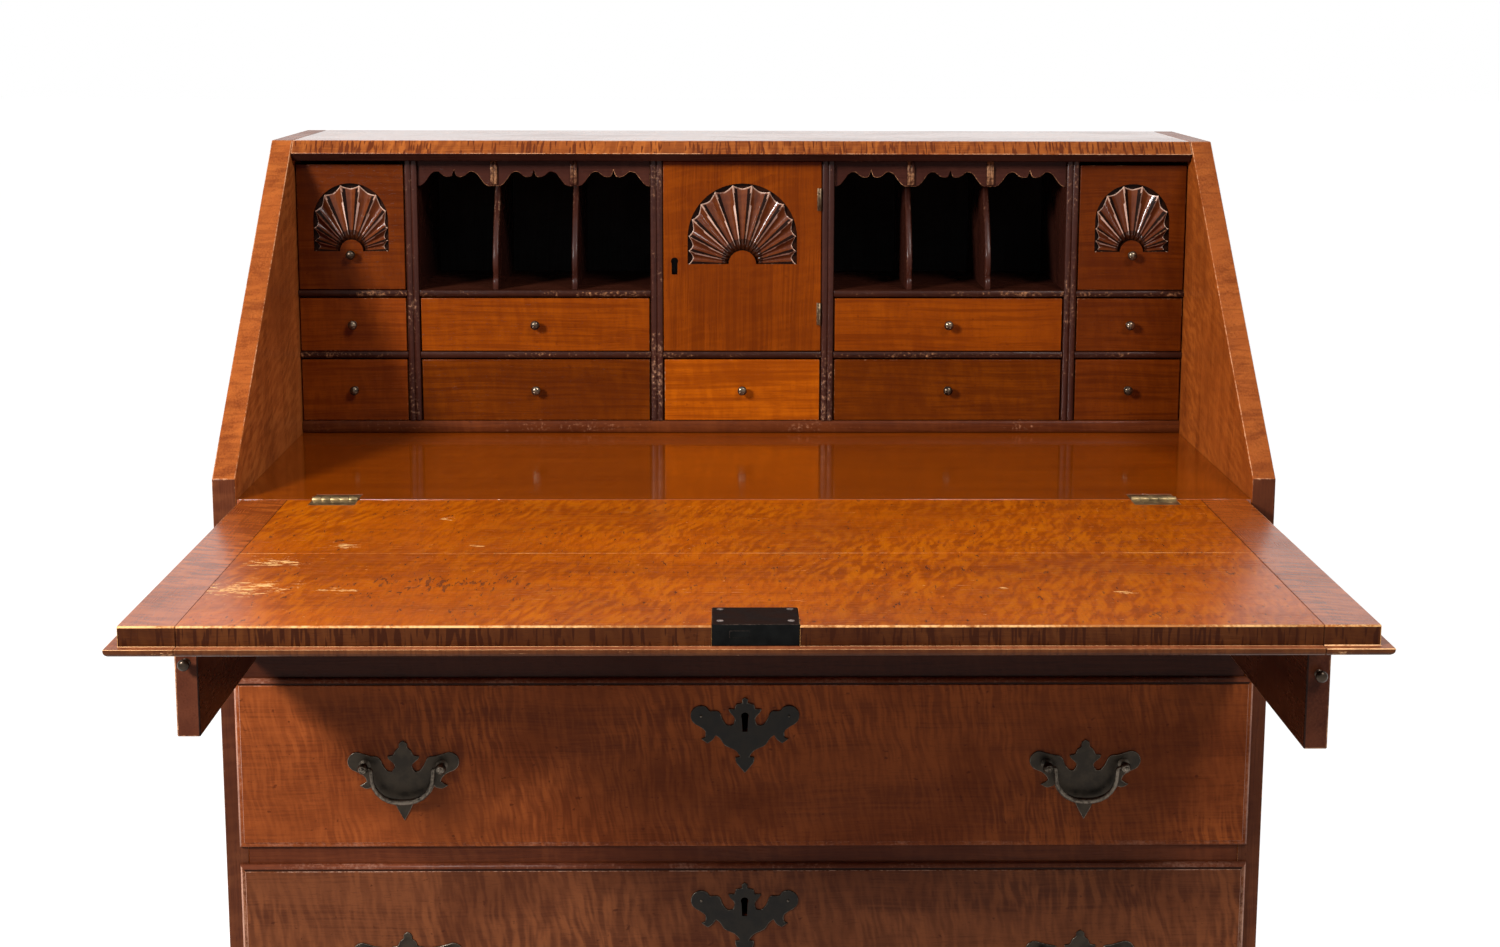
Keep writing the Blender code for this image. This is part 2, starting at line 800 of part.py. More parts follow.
def build_lid(desk):
    """The fall front: a wide panel between two cleats, with its lock."""
    inner = lid_half - CLEAT_WIDTH
    panel = lid_slab(-inner + SEAT_GAP, inner - SEAT_GAP, 0, 0, False)
    middle = -LID_THICKNESS / 2
    tongue = TONGUE_THICKNESS / 2
    for sign in (-1, 1):
        low, high = sorted(
            (sign * (inner - OVERRUN), sign * (inner + TONGUE_DEPTH - SEAT_GAP))
        )
        strip = block(
            (low, -lid_length + CLEAT_WIDTH, middle - tongue),
            (high, -CLEAT_WIDTH, middle + tongue),
        )
        panel = union(panel, strip)
    mortise = block(
        (LOCK_OFFSET - LOCK_WIDTH / 2 - SEAT_GAP, -lid_length - OVERRUN, -lip_shoulder),
        (
            LOCK_OFFSET + LOCK_WIDTH / 2 + SEAT_GAP,
            -lid_length + LOCK_DEPTH + SEAT_GAP,
            OVERRUN,
        ),
    )
    panel = cut(panel, mortise, *hinge_recesses(-1))
    desk.add("lid_panel", panel, "maple_inside")

    for name, sign in (("lid_cleat_left", -1), ("lid_cleat_right", 1)):
        low, high = sorted((sign * lid_half, sign * inner))
        overhang = (LIP_SIDE_OVERHANG, 0) if sign < 0 else (0, LIP_SIDE_OVERHANG)
        cleat = lid_slab(low, high, *overhang, True)
        low, high = sorted((sign * (inner - OVERRUN), sign * (inner + TONGUE_DEPTH)))
        groove = block(
            (low, -lid_length + CLEAT_WIDTH - SEAT_GAP, middle - tongue - SEAT_GAP),
            (high, -CLEAT_WIDTH + SEAT_GAP, middle + tongue + SEAT_GAP),
        )
        desk.add(name, cut(cleat, groove), "maple_inside")

    lock = block(
        (LOCK_OFFSET - LOCK_WIDTH / 2, -lid_length, -LOCK_HEIGHT),
        (LOCK_OFFSET + LOCK_WIDTH / 2, -lid_length + LOCK_DEPTH, LOCK_PROUD),
    )
    lock = round_edges(lock, lambda a, b: min(a.z, b.z) > 0, LOCK_PROUD / 2)
    desk.add("lid_lock", lock, "lock_iron")


def knob():
    """A small turned knob, standing out of its seat at the origin."""
    profile = [(0, -KNOB_SEAT), (KNOB_BASE_RADIUS, -KNOB_SEAT)]
    profile += [(r * KNOB_HEAD_RADIUS, d * KNOB_LENGTH) for r, d in KNOB_SHARES]
    profile.append((0, KNOB_LENGTH))
    return turned(profile, KNOB_SIDES)


def build_lopers(desk):
    """The two pull-out supports under the lid, each with a small knob on its end."""
    low_z = drawer_levels[0][0] + SEAT_GAP
    high_z = -WRITING_BOARD_THICKNESS - SEAT_GAP
    for side, sign in (("left", -1), ("right", 1)):
        outer = side_inner - LOPER_CLEARANCE
        low, high = sorted((sign * outer, sign * (outer - LOPER_THICKNESS)))
        front = case_front - LOPER_REACH[side]
        bar = block((low, front, low_z), (high, front + LOPER_LENGTH, high_z))

        def end_edge(a, b, front=front):
            """The arrises round the front end."""
            return max(a.y, b.y) < front + SEAT_GAP

        bar = round_edges(bar, end_edge, LOPER_EDGE)
        at = ((low + high) / 2, front, high_z - LOPER_KNOB_SHARE * (high_z - low_z))
        bar = union(bar, moved(knob(), at))
        desk.add(f"loper_{side}", bar, "curly_maple", at)


def keyhole(centre_x, top_z, front, back, radius, slot, length):
    """A keyhole cutter: a round eye over a straight slot."""
    eye = top_z - radius
    outline = []
    for i in range(ARC_STEPS + 1):
        a = -math.pi / 6 + (4 * math.pi / 3) * i / ARC_STEPS
        outline.append((centre_x + radius * math.cos(a), eye + radius * math.sin(a)))
    outline.append((centre_x - slot / 2, top_z - length))
    outline.append((centre_x + slot / 2, top_z - length))
    return prism(outline, "Y", front, back)


def scalloped_plate(centre_x, top_z, half, height, lobe_radius, inner, lobe, outer):
    """A batwing plate seen from the front, as points round its edge from the top."""
    right = [(across * half, -down * height) for across, down in inner]
    for i in range(LOBE_STEPS + 1):
        a = LOBE_START + (LOBE_END - LOBE_START) * i / LOBE_STEPS
        across = lobe[0] * half + lobe_radius * math.cos(a)
        right.append((across, -lobe[1] * height + lobe_radius * math.sin(a)))
    right += [(across * half, -down * height) for across, down in outer]
    points = [(0, 0)] + right + [(0, -height)]
    points += [(-x, z) for x, z in reversed(right)]
    return [(centre_x + x, top_z + z) for x, z in points]


def post(centre_x, centre_z, inward):
    """One bail post: a neck and a round head, with a socket for the bail's pin."""
    reach = PLATE_THICKNESS + POST_REACH
    profile = [(0, -KNOB_SEAT), (POST_NECK_RADIUS, -KNOB_SEAT)]
    start = math.asin(POST_NECK_RADIUS / POST_HEAD_RADIUS)
    for i in range(ARC_STEPS + 1):
        a = start + (math.pi - start) * i / ARC_STEPS
        radius = POST_HEAD_RADIUS * math.sin(a)
        profile.append((max(radius, 0), reach - POST_HEAD_RADIUS * math.cos(a)))
    profile[-1] = (0, reach + POST_HEAD_RADIUS)
    shape = moved(turned(profile, KNOB_SIDES), (centre_x, long_lip_front, centre_z))
    circle = [
        (
            long_lip_front - reach + POST_SOCKET_RADIUS * math.cos(a),
            centre_z + POST_SOCKET_RADIUS * math.sin(a),
        )
        for a in angles(BAIL_SIDES)
    ]
    mouth = centre_x + inward * (POST_HEAD_RADIUS + OVERRUN)
    floor_x = centre_x + inward * (POST_HEAD_RADIUS - POST_SOCKET_DEPTH)
    low, high = sorted((mouth, floor_x))
    return cut(shape, prism(circle, "X", low, high))


def drawer_shell(name, x_half, levels, sizes):
    """An open drawer box with its front: sizes holds the walls, the depth and the lips."""
    low, high = levels
    front, back = sizes["front"], sizes["back"]
    side_top = high - sizes["side_drop"]
    tray = block((-x_half, front + OVERRUN, low), (x_half, back, side_top))
    wall = sizes["side"]
    hollow = block(
        (-x_half + wall, front + sizes["front_thickness"], low + sizes["bottom"]),
        (x_half - wall, back - wall, side_top + OVERRUN),
    )
    tray = cut(tray, hollow)
    face = block((-x_half, front, low), (x_half, front + sizes["front_thickness"], high))
    return union(face, tray)


def long_drawer(desk, number):
    """One long drawer with its lipped front, two pulls and a keyhole plate."""
    low, high = drawer_levels[number]
    top_row = number == 0
    opening_half = partition_inner if top_row else side_inner
    x_half = opening_half - DRAWER_SIDE_CLEARANCE
    sizes = {
        "front": long_lip_front + DRAWER_LIP_ROUND,
        "front_thickness": DRAWER_FRONT_THICKNESS - DRAWER_LIP_ROUND,
        "back": back_inner - DRAWER_BACK_GAP,
        "side": DRAWER_SIDE_THICKNESS,
        "bottom": DRAWER_BOTTOM_THICKNESS,
        "side_drop": DRAWER_SIDE_DROP,
    }
    box_top = high - DRAWER_TOP_CLEARANCE
    shell = drawer_shell("drawer", x_half, (low + SEAT_GAP, box_top), sizes)
    lip_half = opening_half + (TOP_DRAWER_LIP_SIDE if top_row else DRAWER_LIP_SIDE)
    lip_low = low - DRAWER_LIP_HEIGHT
    lip_high = box_top if top_row else high + DRAWER_LIP_HEIGHT
    slab = block((-lip_half, long_lip_front, lip_low), (lip_half, long_lip_back, lip_high))

    def front_edge(a, b):
        """The arrises round the lip's face."""
        return max(a.y, b.y) < long_lip_front + SEAT_GAP

    slab = round_edges(slab, front_edge, DRAWER_LIP_ROUND)
    drawer = union(shell, slab)

    middle = (lip_low + lip_high) / 2
    plate_back = long_lip_front + KNOB_SEAT
    plate_front = long_lip_front - PLATE_THICKNESS
    for sign in (-1, 1):
        centre = sign * pull_spacing / 2
        plate = scalloped_plate(
            centre,
            middle + POST_DROP,
            pull_half_width,
            pull_height,
            pull_lobe_radius,
            PULL_INNER_SHARES,
            PULL_LOBE_SHARES,
            PULL_OUTER_SHARES,
        )
        drawer = union(drawer, prism(plate, "Y", plate_front, plate_back))
        for end in (-1, 1):
            drawer = union(drawer, post(centre + end * POST_SPACING / 2, middle, -end))
    plate_top = lip_high - ESCUTCHEON_DROP
    plate = scalloped_plate(
        0,
        plate_top,
        ESCUTCHEON_HALF_WIDTH,
        ESCUTCHEON_HEIGHT,
        ESCUTCHEON_LOBE_RADIUS,
        ESCUTCHEON_INNER_SHARES,
        ESCUTCHEON_LOBE_SHARES,
        ESCUTCHEON_OUTER_SHARES,
    )
    drawer = union(drawer, prism(plate, "Y", plate_front, plate_back))
    key = keyhole(
        0,
        plate_top - KEYHOLE_DROP,
        plate_front - OVERRUN,
        long_lip_front + KEYHOLE_DEPTH,
        KEYHOLE_RADIUS,
        KEYHOLE_SLOT_WIDTH,
        KEYHOLE_LENGTH,
    )
    name = f"long_drawer_{number + 1}"
    desk.add(name, cut(drawer, key), "curly_maple", (0, long_lip_front, middle))
    for sign, side in ((-1, "left"), (1, "right")):
        add_bail(desk, f"bail_{side}_{number + 1}", sign * pull_spacing / 2, middle)


def bail_path():
    """The bail's centre line in X and Z about its axis, with the rod's radius at each point."""
    shoulder = POST_SPACING / 2 - POST_HEAD_RADIUS - SEAT_GAP
    tip = shoulder + BAIL_PIN_DEPTH
    neck = POST_SPACING / 2 - BAIL_NECK
    turn = BAIL_TURN_SHARE * BAIL_DROP
    half = [
        (tip, 0, BAIL_PIN_RADIUS),
        (shoulder + SEAT_GAP, 0, BAIL_PIN_RADIUS),
        (shoulder - BAIL_END_RADIUS, 0, BAIL_END_RADIUS),
    ]
    bow = BAIL_DROP - turn
    for i in range(ARC_STEPS + 1):
        a = (math.pi / 2) * i / ARC_STEPS
        x = neck * math.cos(a) ** BAIL_BOW_SHARE if i < ARC_STEPS else 0
        z = -turn - bow * math.sin(a)
        radius = BAIL_END_RADIUS + (BAIL_ROD_RADIUS - BAIL_END_RADIUS) * math.sin(a)
        half.append((x, z, radius))
    return half + [(-x, z, r) for x, z, r in reversed(half[:-1])]


def add_bail(desk, name, centre_x, centre_z):
    """A swinging bail, with its origin on the line through its two pins."""
    curve = bpy.data.curves.new(name, "CURVE")
    curve.dimensions = "3D"
    curve.bevel_depth = BAIL_ROD_RADIUS
    curve.bevel_resolution = (BAIL_SIDES - 4) // 2
    curve.use_fill_caps = True
    points = bail_path()
    spline = curve.splines.new("POLY")
    spline.points.add(len(points) - 1)
    for point, (x, z, radius) in zip(spline.points, points):
        point.co = (x, 0, z, 1)
        point.radius = radius / BAIL_ROD_RADIUS
    material = desk.materials["old_brass"].copy()
    material.name = name
    curve.materials.append(material)
    obj = bpy.data.objects.new(name, curve)
    bpy.context.scene.collection.objects.link(obj)
    obj.parent = desk.frame
    axis_y = long_lip_front - PLATE_THICKNESS - POST_REACH
    obj.location = (centre_x, axis_y, centre_z)


def beaded_board(centre, bottom, top):
    """A gallery partition with two half-round beads down its front edge."""
    half = GALLERY_PARTITION_THICKNESS / 2
    outline = [(centre + half, back_inner), (centre - half, back_inner)]
    for bead in (-1, 1):
        middle = centre + bead * half / 2
        for i in range(ARC_STEPS + 1):
            a = math.pi * i / ARC_STEPS
            outline.append(
                (
                    middle - math.cos(a) * half / 2,
                    gallery_front - BEAD_PROUD * math.sin(a),
                )
            )
    outline.append((centre + half, back_inner))
    seen = []
    for point in outline:
        if not seen or (Vector(point) - Vector(seen[-1])).length > SEAT_GAP:
            seen.append(point)
    seen.pop()
    return prism(seen, "Z", bottom, top)


def shelf_board(x_low, x_high, bottom, top):
    """A thin shelf with one half-round bead along its front edge."""
    half = (top - bottom) / 2
    middle = (top + bottom) / 2
    outline = [(back_inner, bottom), (back_inner, top)]
    for i in range(ARC_STEPS + 1):
        a = math.pi * i / ARC_STEPS
        outline.append(
            (gallery_front - BEAD_PROUD * math.sin(a), middle + half * math.cos(a))
        )
    return prism(outline, "X", x_low, x_high)


def build_gallery(desk):
    """Plinth, partitions, shelves, dividers and valances."""
    plinth = shelf_board(-inner_half, inner_half, SEAT_GAP, plinth_top)
    desk.add("gallery_plinth", plinth, "dark_gallery")

    half = GALLERY_PARTITION_THICKNESS / 2
    lap = (gallery_front + back_inner) / 2
    centres = {
        "gallery_partition_1": -bay_outer - half,
        "gallery_partition_2": -bay_inner + half,
        "gallery_partition_3": bay_inner - half,
        "gallery_partition_4": bay_outer + half,
    }
    lower = shelf_board(-inner_half, inner_half, lower_shelf, lower_shelf_top)
    uppers = {
        "gallery_shelf_left": (-inner_half, -centre_half - GALLERY_PARTITION_THICKNESS),
        "gallery_shelf_right": (centre_half + GALLERY_PARTITION_THICKNESS, inner_half),
    }
    front = gallery_front - BEAD_PROUD - OVERRUN
    slots = []
    for centre in centres.values():
        reach = half + SEAT_GAP
        slots.append((centre - reach, centre + reach))
    for low, high in slots:
        slot = block(
            (low, front, lower_shelf - OVERRUN), (high, lap, lower_shelf_top + OVERRUN)
        )
        lower = cut(lower, slot)
    desk.add("gallery_shelf_lower", lower, "dark_gallery")
    for name, (low, high) in uppers.items():
        if low > 0:
            low += SEAT_GAP
        else:
            high -= SEAT_GAP
        shelf = shelf_board(low, high, upper_shelf, upper_shelf_top)
        for x_low, x_high in slots:
            if low < x_low and x_high < high:
                slot = block(
                    (x_low, front, upper_shelf - OVERRUN),
                    (x_high, lap, upper_shelf_top + OVERRUN),
                )
                shelf = cut(shelf, slot)
        desk.add(name, shelf, "dark_gallery")

    for name, centre in centres.items():
        board = beaded_board(centre, plinth_top + SEAT_GAP, gallery_top)
        outer = abs(centre) > bay_outer
        levels = [(lower_shelf, lower_shelf_top)]
        if outer:
            levels.append((upper_shelf, upper_shelf_top))
        for bottom, top in levels:
            notch = block(
                (centre - half - OVERRUN, lap - SEAT_GAP, bottom - SEAT_GAP),
                (centre + half + OVERRUN, back_inner + OVERRUN, top + SEAT_GAP),
            )
            board = cut(board, notch)
        desk.add(name, board, "dark_gallery")

    for number, centre in enumerate(divider_centres(), start=1):
        desk.add(f"pigeonhole_divider_{number}", divider(centre), "dark_gallery")
    for side, sign in (("left", -1), ("right", 1)):
        desk.add(f"valance_{side}", valance(sign), "dark_gallery")


def hole_width():
    """The clear width of one pigeonhole."""
    return (bay_width - 2 * DIVIDER_THICKNESS) / 3


def divider_centres():
    """The four dividers, from left to right."""
    step = hole_width() + DIVIDER_THICKNESS
    first = bay_inner + hole_width() + DIVIDER_THICKNESS / 2
    right = [first, first + step]
    return [-x for x in reversed(right)] + right


def divider(centre):
    """A thin pigeonhole divider with a serpentine front edge."""
    bottom = upper_shelf_top + SEAT_GAP
    height = gallery_top - bottom
    outline = [(back_inner, gallery_top), (back_inner, bottom)]
    for up, back in DIVIDER_SHARES:
        recess = DIVIDER_FOOT_RECESS + back * (DIVIDER_RECESS - DIVIDER_FOOT_RECESS)
        outline.append((gallery_front + recess, bottom + up * height))
    outline.append((gallery_front + DIVIDER_RECESS, gallery_top))
    half = DIVIDER_THICKNESS / 2
    return prism(outline, "X", centre - half, centre + half)


def valance(sign):
    """Three scalloped drops in one strip, with the moulded tips between them."""
    width = hole_width()
    points = []
    for hole in range(3):
        left = bay_inner + hole * (width + DIVIDER_THICKNESS)
        centre = left + width / 2
        half = width / 2
        scallop = [(-a * half, b) for a, b in VALANCE_SHARES]
        scallop += [(a * half, b) for a, b in reversed(VALANCE_SHARES[:-1])]
        for offset, share in scallop:
            points.append((centre + offset, gallery_top - share * VALANCE_DROP))
    first = bay_inner + SEAT_GAP
    last = bay_outer - SEAT_GAP
    points[0] = (first, points[0][1])
    points[-1] = (last, points[-1][1])
    outline = [(sign * x, z) for x, z in points]
    outline += [(sign * last, gallery_top), (sign * first, gallery_top)]
    back = gallery_front + VALANCE_SETBACK + VALANCE_THICKNESS
    strip = prism(outline, "Y", gallery_front + VALANCE_SETBACK, back)
    for centre in divider_centres():
        if centre * sign > 0:
            tip = block(
                (
                    centre - VALANCE_TIP_WIDTH / 2,
                    gallery_front,
                    gallery_top - VALANCE_TIP_HEIGHT,
                ),
                (centre + VALANCE_TIP_WIDTH / 2, back - VALANCE_THICKNESS / 2, gallery_top),
            )
            strip = union(strip, tip)
    return strip


def fan_sizes(kind, width):
    """The sizes of a fan that is carved in a front of some width."""
    sizes = {part: width * share for part, share in FAN_ARCH_SHARES[kind].items()}
    sizes["flutes"] = FAN_FLUTES[kind]
    return sizes


def arch_reach(fan, angle):
    """How far the fan's stilted arch is from the hub's centre at an angle."""
    radius, stilt = fan["half_width"], fan["stilt"]
    if math.tan(angle) * radius < stilt and angle < math.pi / 2:
        return radius / math.cos(angle)
    if angle > math.pi / 2 and math.tan(math.pi - angle) * radius < stilt:
        return radius / math.cos(math.pi - angle)
    return stilt * math.sin(angle) + math.sqrt(
        radius**2 - (stilt * math.cos(angle)) ** 2
    )


def fan_recess(fan, centre_x, base_z, face_y):
    """The stilted arch that is sunk behind the carving."""
    count = 2 * fan["flutes"]
    outline = []
    for i in range(count + 1):
        a = math.pi * i / count
        reach = arch_reach(fan, a)
        outline.append((centre_x + reach * math.cos(a), base_z + reach * math.sin(a)))
    return prism(outline, "Y", face_y - OVERRUN, face_y + FAN_RECESS)


def fan_carving(fan, centre_x, base_z, face_y):
    """The carved fan: concave flutes between sharp ridges that spread from a plain hub."""
    steps = 4 * fan["flutes"]
    ground = face_y + FAN_RECESS + FAN_EMBED
    crest = face_y + FAN_RECESS - FAN_RIDGE
    bm = bmesh.new()
    hub = bm.verts.new((centre_x, crest, base_z))
    hub_back = bm.verts.new((centre_x, ground, base_z))
    rings, rim = [], []
    for i in range(steps + 1):
        a = math.pi * i / steps
        hollow = math.sin(math.pi * (i % 4) / 4)
        edge = arch_reach(fan, a) - FAN_MARGIN * (1 + 2 * hollow)
        line = []
        for share in FAN_RING_SHARES:
            reach = fan["hub"] + share * (edge - fan["hub"])
            deepening = FLUTE_START_SHARE + (1 - FLUTE_START_SHARE) * share
            depth = crest + FAN_FLUTE * hollow * deepening * (share > 0)
            point = (centre_x + reach * math.cos(a), depth, base_z + reach * math.sin(a))
            line.append(bm.verts.new(point))
        rings.append(line)
        back = (centre_x + edge * math.cos(a), ground, base_z + edge * math.sin(a))
        rim.append(bm.verts.new(back))
    for i in range(steps):
        first, second = rings[i], rings[i + 1]
        bm.faces.new((hub, first[0], second[0]))
        for j in range(len(FAN_RING_SHARES) - 1):
            bm.faces.new((first[j], first[j + 1], second[j + 1], second[j]))
        bm.faces.new((first[-1], rim[i], rim[i + 1], second[-1]))
        bm.faces.new((hub_back, rim[i + 1], rim[i]))
    for line, back in ((rings[0], rim[0]), (list(rings[-1]), rim[-1])):
        bm.faces.new([hub, *line, back, hub_back])
    bmesh.ops.recalc_face_normals(bm, faces=bm.faces)
    return bm


def carve_fan(bm, fan, centre_x, base_z, face_y):
    """Sinks the arch into a face and sets the carving in it."""
    sunk = cut(bm, fan_recess(fan, centre_x, base_z, face_y))
    return union(sunk, fan_carving(fan, centre_x, base_z, face_y))


def small_drawer(desk, name, x_range, levels, fan=None, top_gap=SMALL_CLEARANCE):
    """One flush gallery drawer with a turned knob, and a carved fan where it has one."""
    centre = (x_range[0] + x_range[1]) / 2
    x_half = (x_range[1] - x_range[0]) / 2 - SMALL_CLEARANCE
    sizes = {
        "front": gallery_front,
        "front_thickness": SMALL_FRONT_THICKNESS,
        "back": back_inner - SMALL_BACK_GAP,
        "side": SMALL_SIDE_THICKNESS,
        "bottom": SMALL_BOTTOM_THICKNESS,
        "side_drop": SMALL_SIDE_DROP,
    }
    low, high = levels[0] + SEAT_GAP, levels[1] - top_gap
    drawer = moved(drawer_shell(name, x_half, (low, high), sizes), (centre, 0, 0))
    knob_z = (low + high) / 2
    if fan:
        base = low + DRAWER_FAN_RISE
        drawer = carve_fan(drawer, fan, centre, base, gallery_front)
        knob_z = base - DRAWER_FAN_KNOB_DROP
    drawer = union(drawer, moved(knob(), (centre, gallery_front, knob_z)))
    desk.add(name, drawer, "maple_inside", (centre, gallery_front, knob_z))


def build_gallery_drawers(desk):
    """Eleven drawers: three in each outer stack, two in each bay and one in the middle."""
    rows = {
        "lower": (plinth_top, lower_shelf),
        "middle": (lower_shelf_top, upper_shelf),
        "fan": (upper_shelf_top, gallery_top),
    }
    for side, sign in (("left", -1), ("right", 1)):
        stack = sorted((sign * stack_inner, sign * side_inner))
        bay = sorted((sign * bay_inner, sign * bay_outer))
        for row in ("lower", "middle"):
            small_drawer(desk, f"small_drawer_{side}_{row}", stack, rows[row])
            small_drawer(desk, f"wide_drawer_{side}_{row}", bay, rows[row])
        small_drawer(
            desk,
            f"fan_drawer_{side}",
            stack,
            rows["fan"],
            fan_sizes("drawer", stack_width),
            FAN_DRAWER_TOP_GAP,
        )
    small_drawer(desk, "centre_drawer", (-centre_half, centre_half), rows["lower"])


def build_door(desk):
    """The prospect door with its carved fan, keyhole and two hinge barrels."""
    low = lower_shelf_top + DOOR_CLEARANCE
    high = gallery_top - DOOR_CLEARANCE
    x_half = centre_half - DOOR_CLEARANCE
    door = block(
        (-x_half, gallery_front, low), (x_half, gallery_front + DOOR_THICKNESS, high)
    )
    base = lower_shelf_top + DOOR_FAN_RISE
    fan = fan_sizes("door", centre_width)
    door = carve_fan(door, fan, 0, base, gallery_front)
    key = keyhole(
        -centre_half + DOOR_KEYHOLE_INSET,
        lower_shelf_top + DOOR_KEYHOLE_RISE + KEYHOLE_LENGTH / 4,
        gallery_front - OVERRUN,
        gallery_front + KEYHOLE_DEPTH,
        KEYHOLE_RADIUS,
        KEYHOLE_SLOT_WIDTH,
        KEYHOLE_LENGTH,
    )
    door = cut(door, key)
    axis_x, axis_y = door_axis()
    circle = [
        (
            axis_x + DOOR_BARREL_RADIUS * math.cos(a),
            axis_y + DOOR_BARREL_RADIUS * math.sin(a),
        )
        for a in angles(KNOB_SIDES)
    ]
    web_x = axis_x - DOOR_BARREL_RADIUS
    for start in (low + DOOR_HINGE_INSET, high - DOOR_HINGE_INSET - DOOR_BARREL_LENGTH):
        end = start + DOOR_BARREL_LENGTH
        web = block(
            (web_x, axis_y, start),
            (axis_x + SEAT_GAP, gallery_front + SEAT_GAP, end),
        )
        barrel = union(prism(circle, "Z", start, end), web)
        door = union(door, barrel)
    desk.add("prospect_door", door, "maple_inside", (axis_x, axis_y, low))


def door_axis():
    """Where the prospect door's hinge line stands."""
    return centre_half - DOOR_AXIS_INSET, gallery_front - DOOR_AXIS_PROUD


def main():
    """Builds the whole desk."""
    clear_scene()
    desk = Desk(make_materials())
    build_case(desk)
    build_hinges(desk)
    build_blades(desk)
    build_base(desk)
    build_lid(desk)
    build_lopers(desk)
    for number in range(len(drawer_levels)):
        long_drawer(desk, number)
    build_gallery(desk)
    build_gallery_drawers(desk)
    build_door(desk)


main()
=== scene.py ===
"""Slant-front desk in figured maple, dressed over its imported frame.

Sizes are in metres. Pieces are laid out from the lid's hinge line, with X to the right, Y into the
case and Z up from the writing surface, and are then set in the desk's own frame.
"""

import json
import logging
import math
from collections.abc import Callable, Sequence
from dataclasses import dataclass, field, replace
from enum import Enum

import bmesh
import bpy
from bmesh.types import BMEdge, BMesh, BMFace, BMVert
from mathutils import Matrix, Vector

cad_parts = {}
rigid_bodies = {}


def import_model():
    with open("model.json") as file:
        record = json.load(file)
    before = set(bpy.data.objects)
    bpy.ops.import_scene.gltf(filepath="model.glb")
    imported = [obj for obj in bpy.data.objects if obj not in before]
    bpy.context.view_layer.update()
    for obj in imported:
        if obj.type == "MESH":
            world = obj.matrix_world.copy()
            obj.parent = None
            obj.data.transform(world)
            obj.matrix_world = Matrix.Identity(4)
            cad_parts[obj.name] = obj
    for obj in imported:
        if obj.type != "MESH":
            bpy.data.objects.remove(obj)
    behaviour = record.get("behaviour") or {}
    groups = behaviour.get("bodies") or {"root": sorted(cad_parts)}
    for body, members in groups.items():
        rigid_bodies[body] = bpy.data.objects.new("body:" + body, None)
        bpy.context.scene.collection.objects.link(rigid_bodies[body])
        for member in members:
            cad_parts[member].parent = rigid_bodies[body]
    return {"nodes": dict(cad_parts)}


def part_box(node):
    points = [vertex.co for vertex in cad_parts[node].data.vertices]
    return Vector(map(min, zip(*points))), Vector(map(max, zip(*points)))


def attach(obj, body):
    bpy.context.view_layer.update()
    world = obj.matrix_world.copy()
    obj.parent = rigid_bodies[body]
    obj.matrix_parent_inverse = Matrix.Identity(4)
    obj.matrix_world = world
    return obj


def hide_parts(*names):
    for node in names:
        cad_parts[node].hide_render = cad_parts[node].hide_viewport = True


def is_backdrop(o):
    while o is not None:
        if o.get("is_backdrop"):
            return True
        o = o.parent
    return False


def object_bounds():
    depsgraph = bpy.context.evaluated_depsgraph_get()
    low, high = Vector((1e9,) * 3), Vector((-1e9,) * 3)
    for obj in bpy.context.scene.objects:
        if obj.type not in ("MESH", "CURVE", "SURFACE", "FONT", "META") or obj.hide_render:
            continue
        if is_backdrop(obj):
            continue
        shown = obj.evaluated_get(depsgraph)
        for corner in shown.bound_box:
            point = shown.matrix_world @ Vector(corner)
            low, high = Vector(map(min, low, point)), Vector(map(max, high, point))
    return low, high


for leftover in list(bpy.data.objects):
    bpy.data.objects.remove(leftover, do_unlink=True)
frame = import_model()
CAD_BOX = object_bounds()

LOG = logging.getLogger("desk")
Point = tuple[float, float]
Place = tuple[float, float, float]
Colour = tuple[float, float, float]
Socket = bpy.types.NodeSocket
Mark = Callable[[Vector], float]
FaceTest = Callable[[BMFace], bool]
EdgeTest = Callable[[BMEdge], bool]
Accents = Sequence[tuple[str, FaceTest]]

WORN = "worn"
SIDES = (("left", -1), ("right", 1))
SHARP, FLAT = math.radians(35), math.radians(0.4)
SQUARE_ON, LEANING, TILTED = 0.9, 0.3, 0.1
FAR = 9.0
TINY, SMALL, NEAR = 1e-6, 1e-5, 1e-4
CUT_AHEAD = 0.004
LAP = 0.001
HINGE_GAP = 0.0005
FRONT_ARRIS = 0.0006


class Grain(Enum):
    """The way the grain of a board runs, as the turn that lays it along X."""

    ACROSS = (0.0, 0.0, 0.0)
    DEPTH = (0.0, 0.0, math.radians(90))
    UPRIGHT = (0.0, math.radians(90), 0.0)


# Shapes


def picked(kind: type, made: Sequence) -> list:
    """The items of one kind among those that an operator made."""
    return [item for item in made if isinstance(item, kind)]


def placed(shape: BMesh, at: Sequence[float], *turns: tuple[float, str]) -> BMesh:
    """Turns a shape about the origin, by an angle and an axis each time, and then moves it."""
    for angle, axis in turns:
        spun = Matrix.Rotation(angle, 3, axis)
        bmesh.ops.rotate(shape, cent=(0, 0, 0), matrix=spun, verts=shape.verts)
    bmesh.ops.translate(shape, vec=at, verts=shape.verts)
    return shape


def block(low: Place, high: Place, arris: float = 0.0, segments: int = 2) -> BMesh:
    """Makes a squared block.

    Args:
        low: The corner with the lowest X, Y and Z.
        high: The opposite corner.
        arris: The width of its eased arrises.
        segments: Facets across them.

    Returns:
        The block.
    """
    shape = bmesh.new()
    bmesh.ops.create_cube(shape, size=1)
    bmesh.ops.scale(shape, vec=Vector(high) - Vector(low), verts=shape.verts)
    placed(shape, (Vector(low) + Vector(high)) / 2)
    return ease(shape, arris, segments) if arris else shape


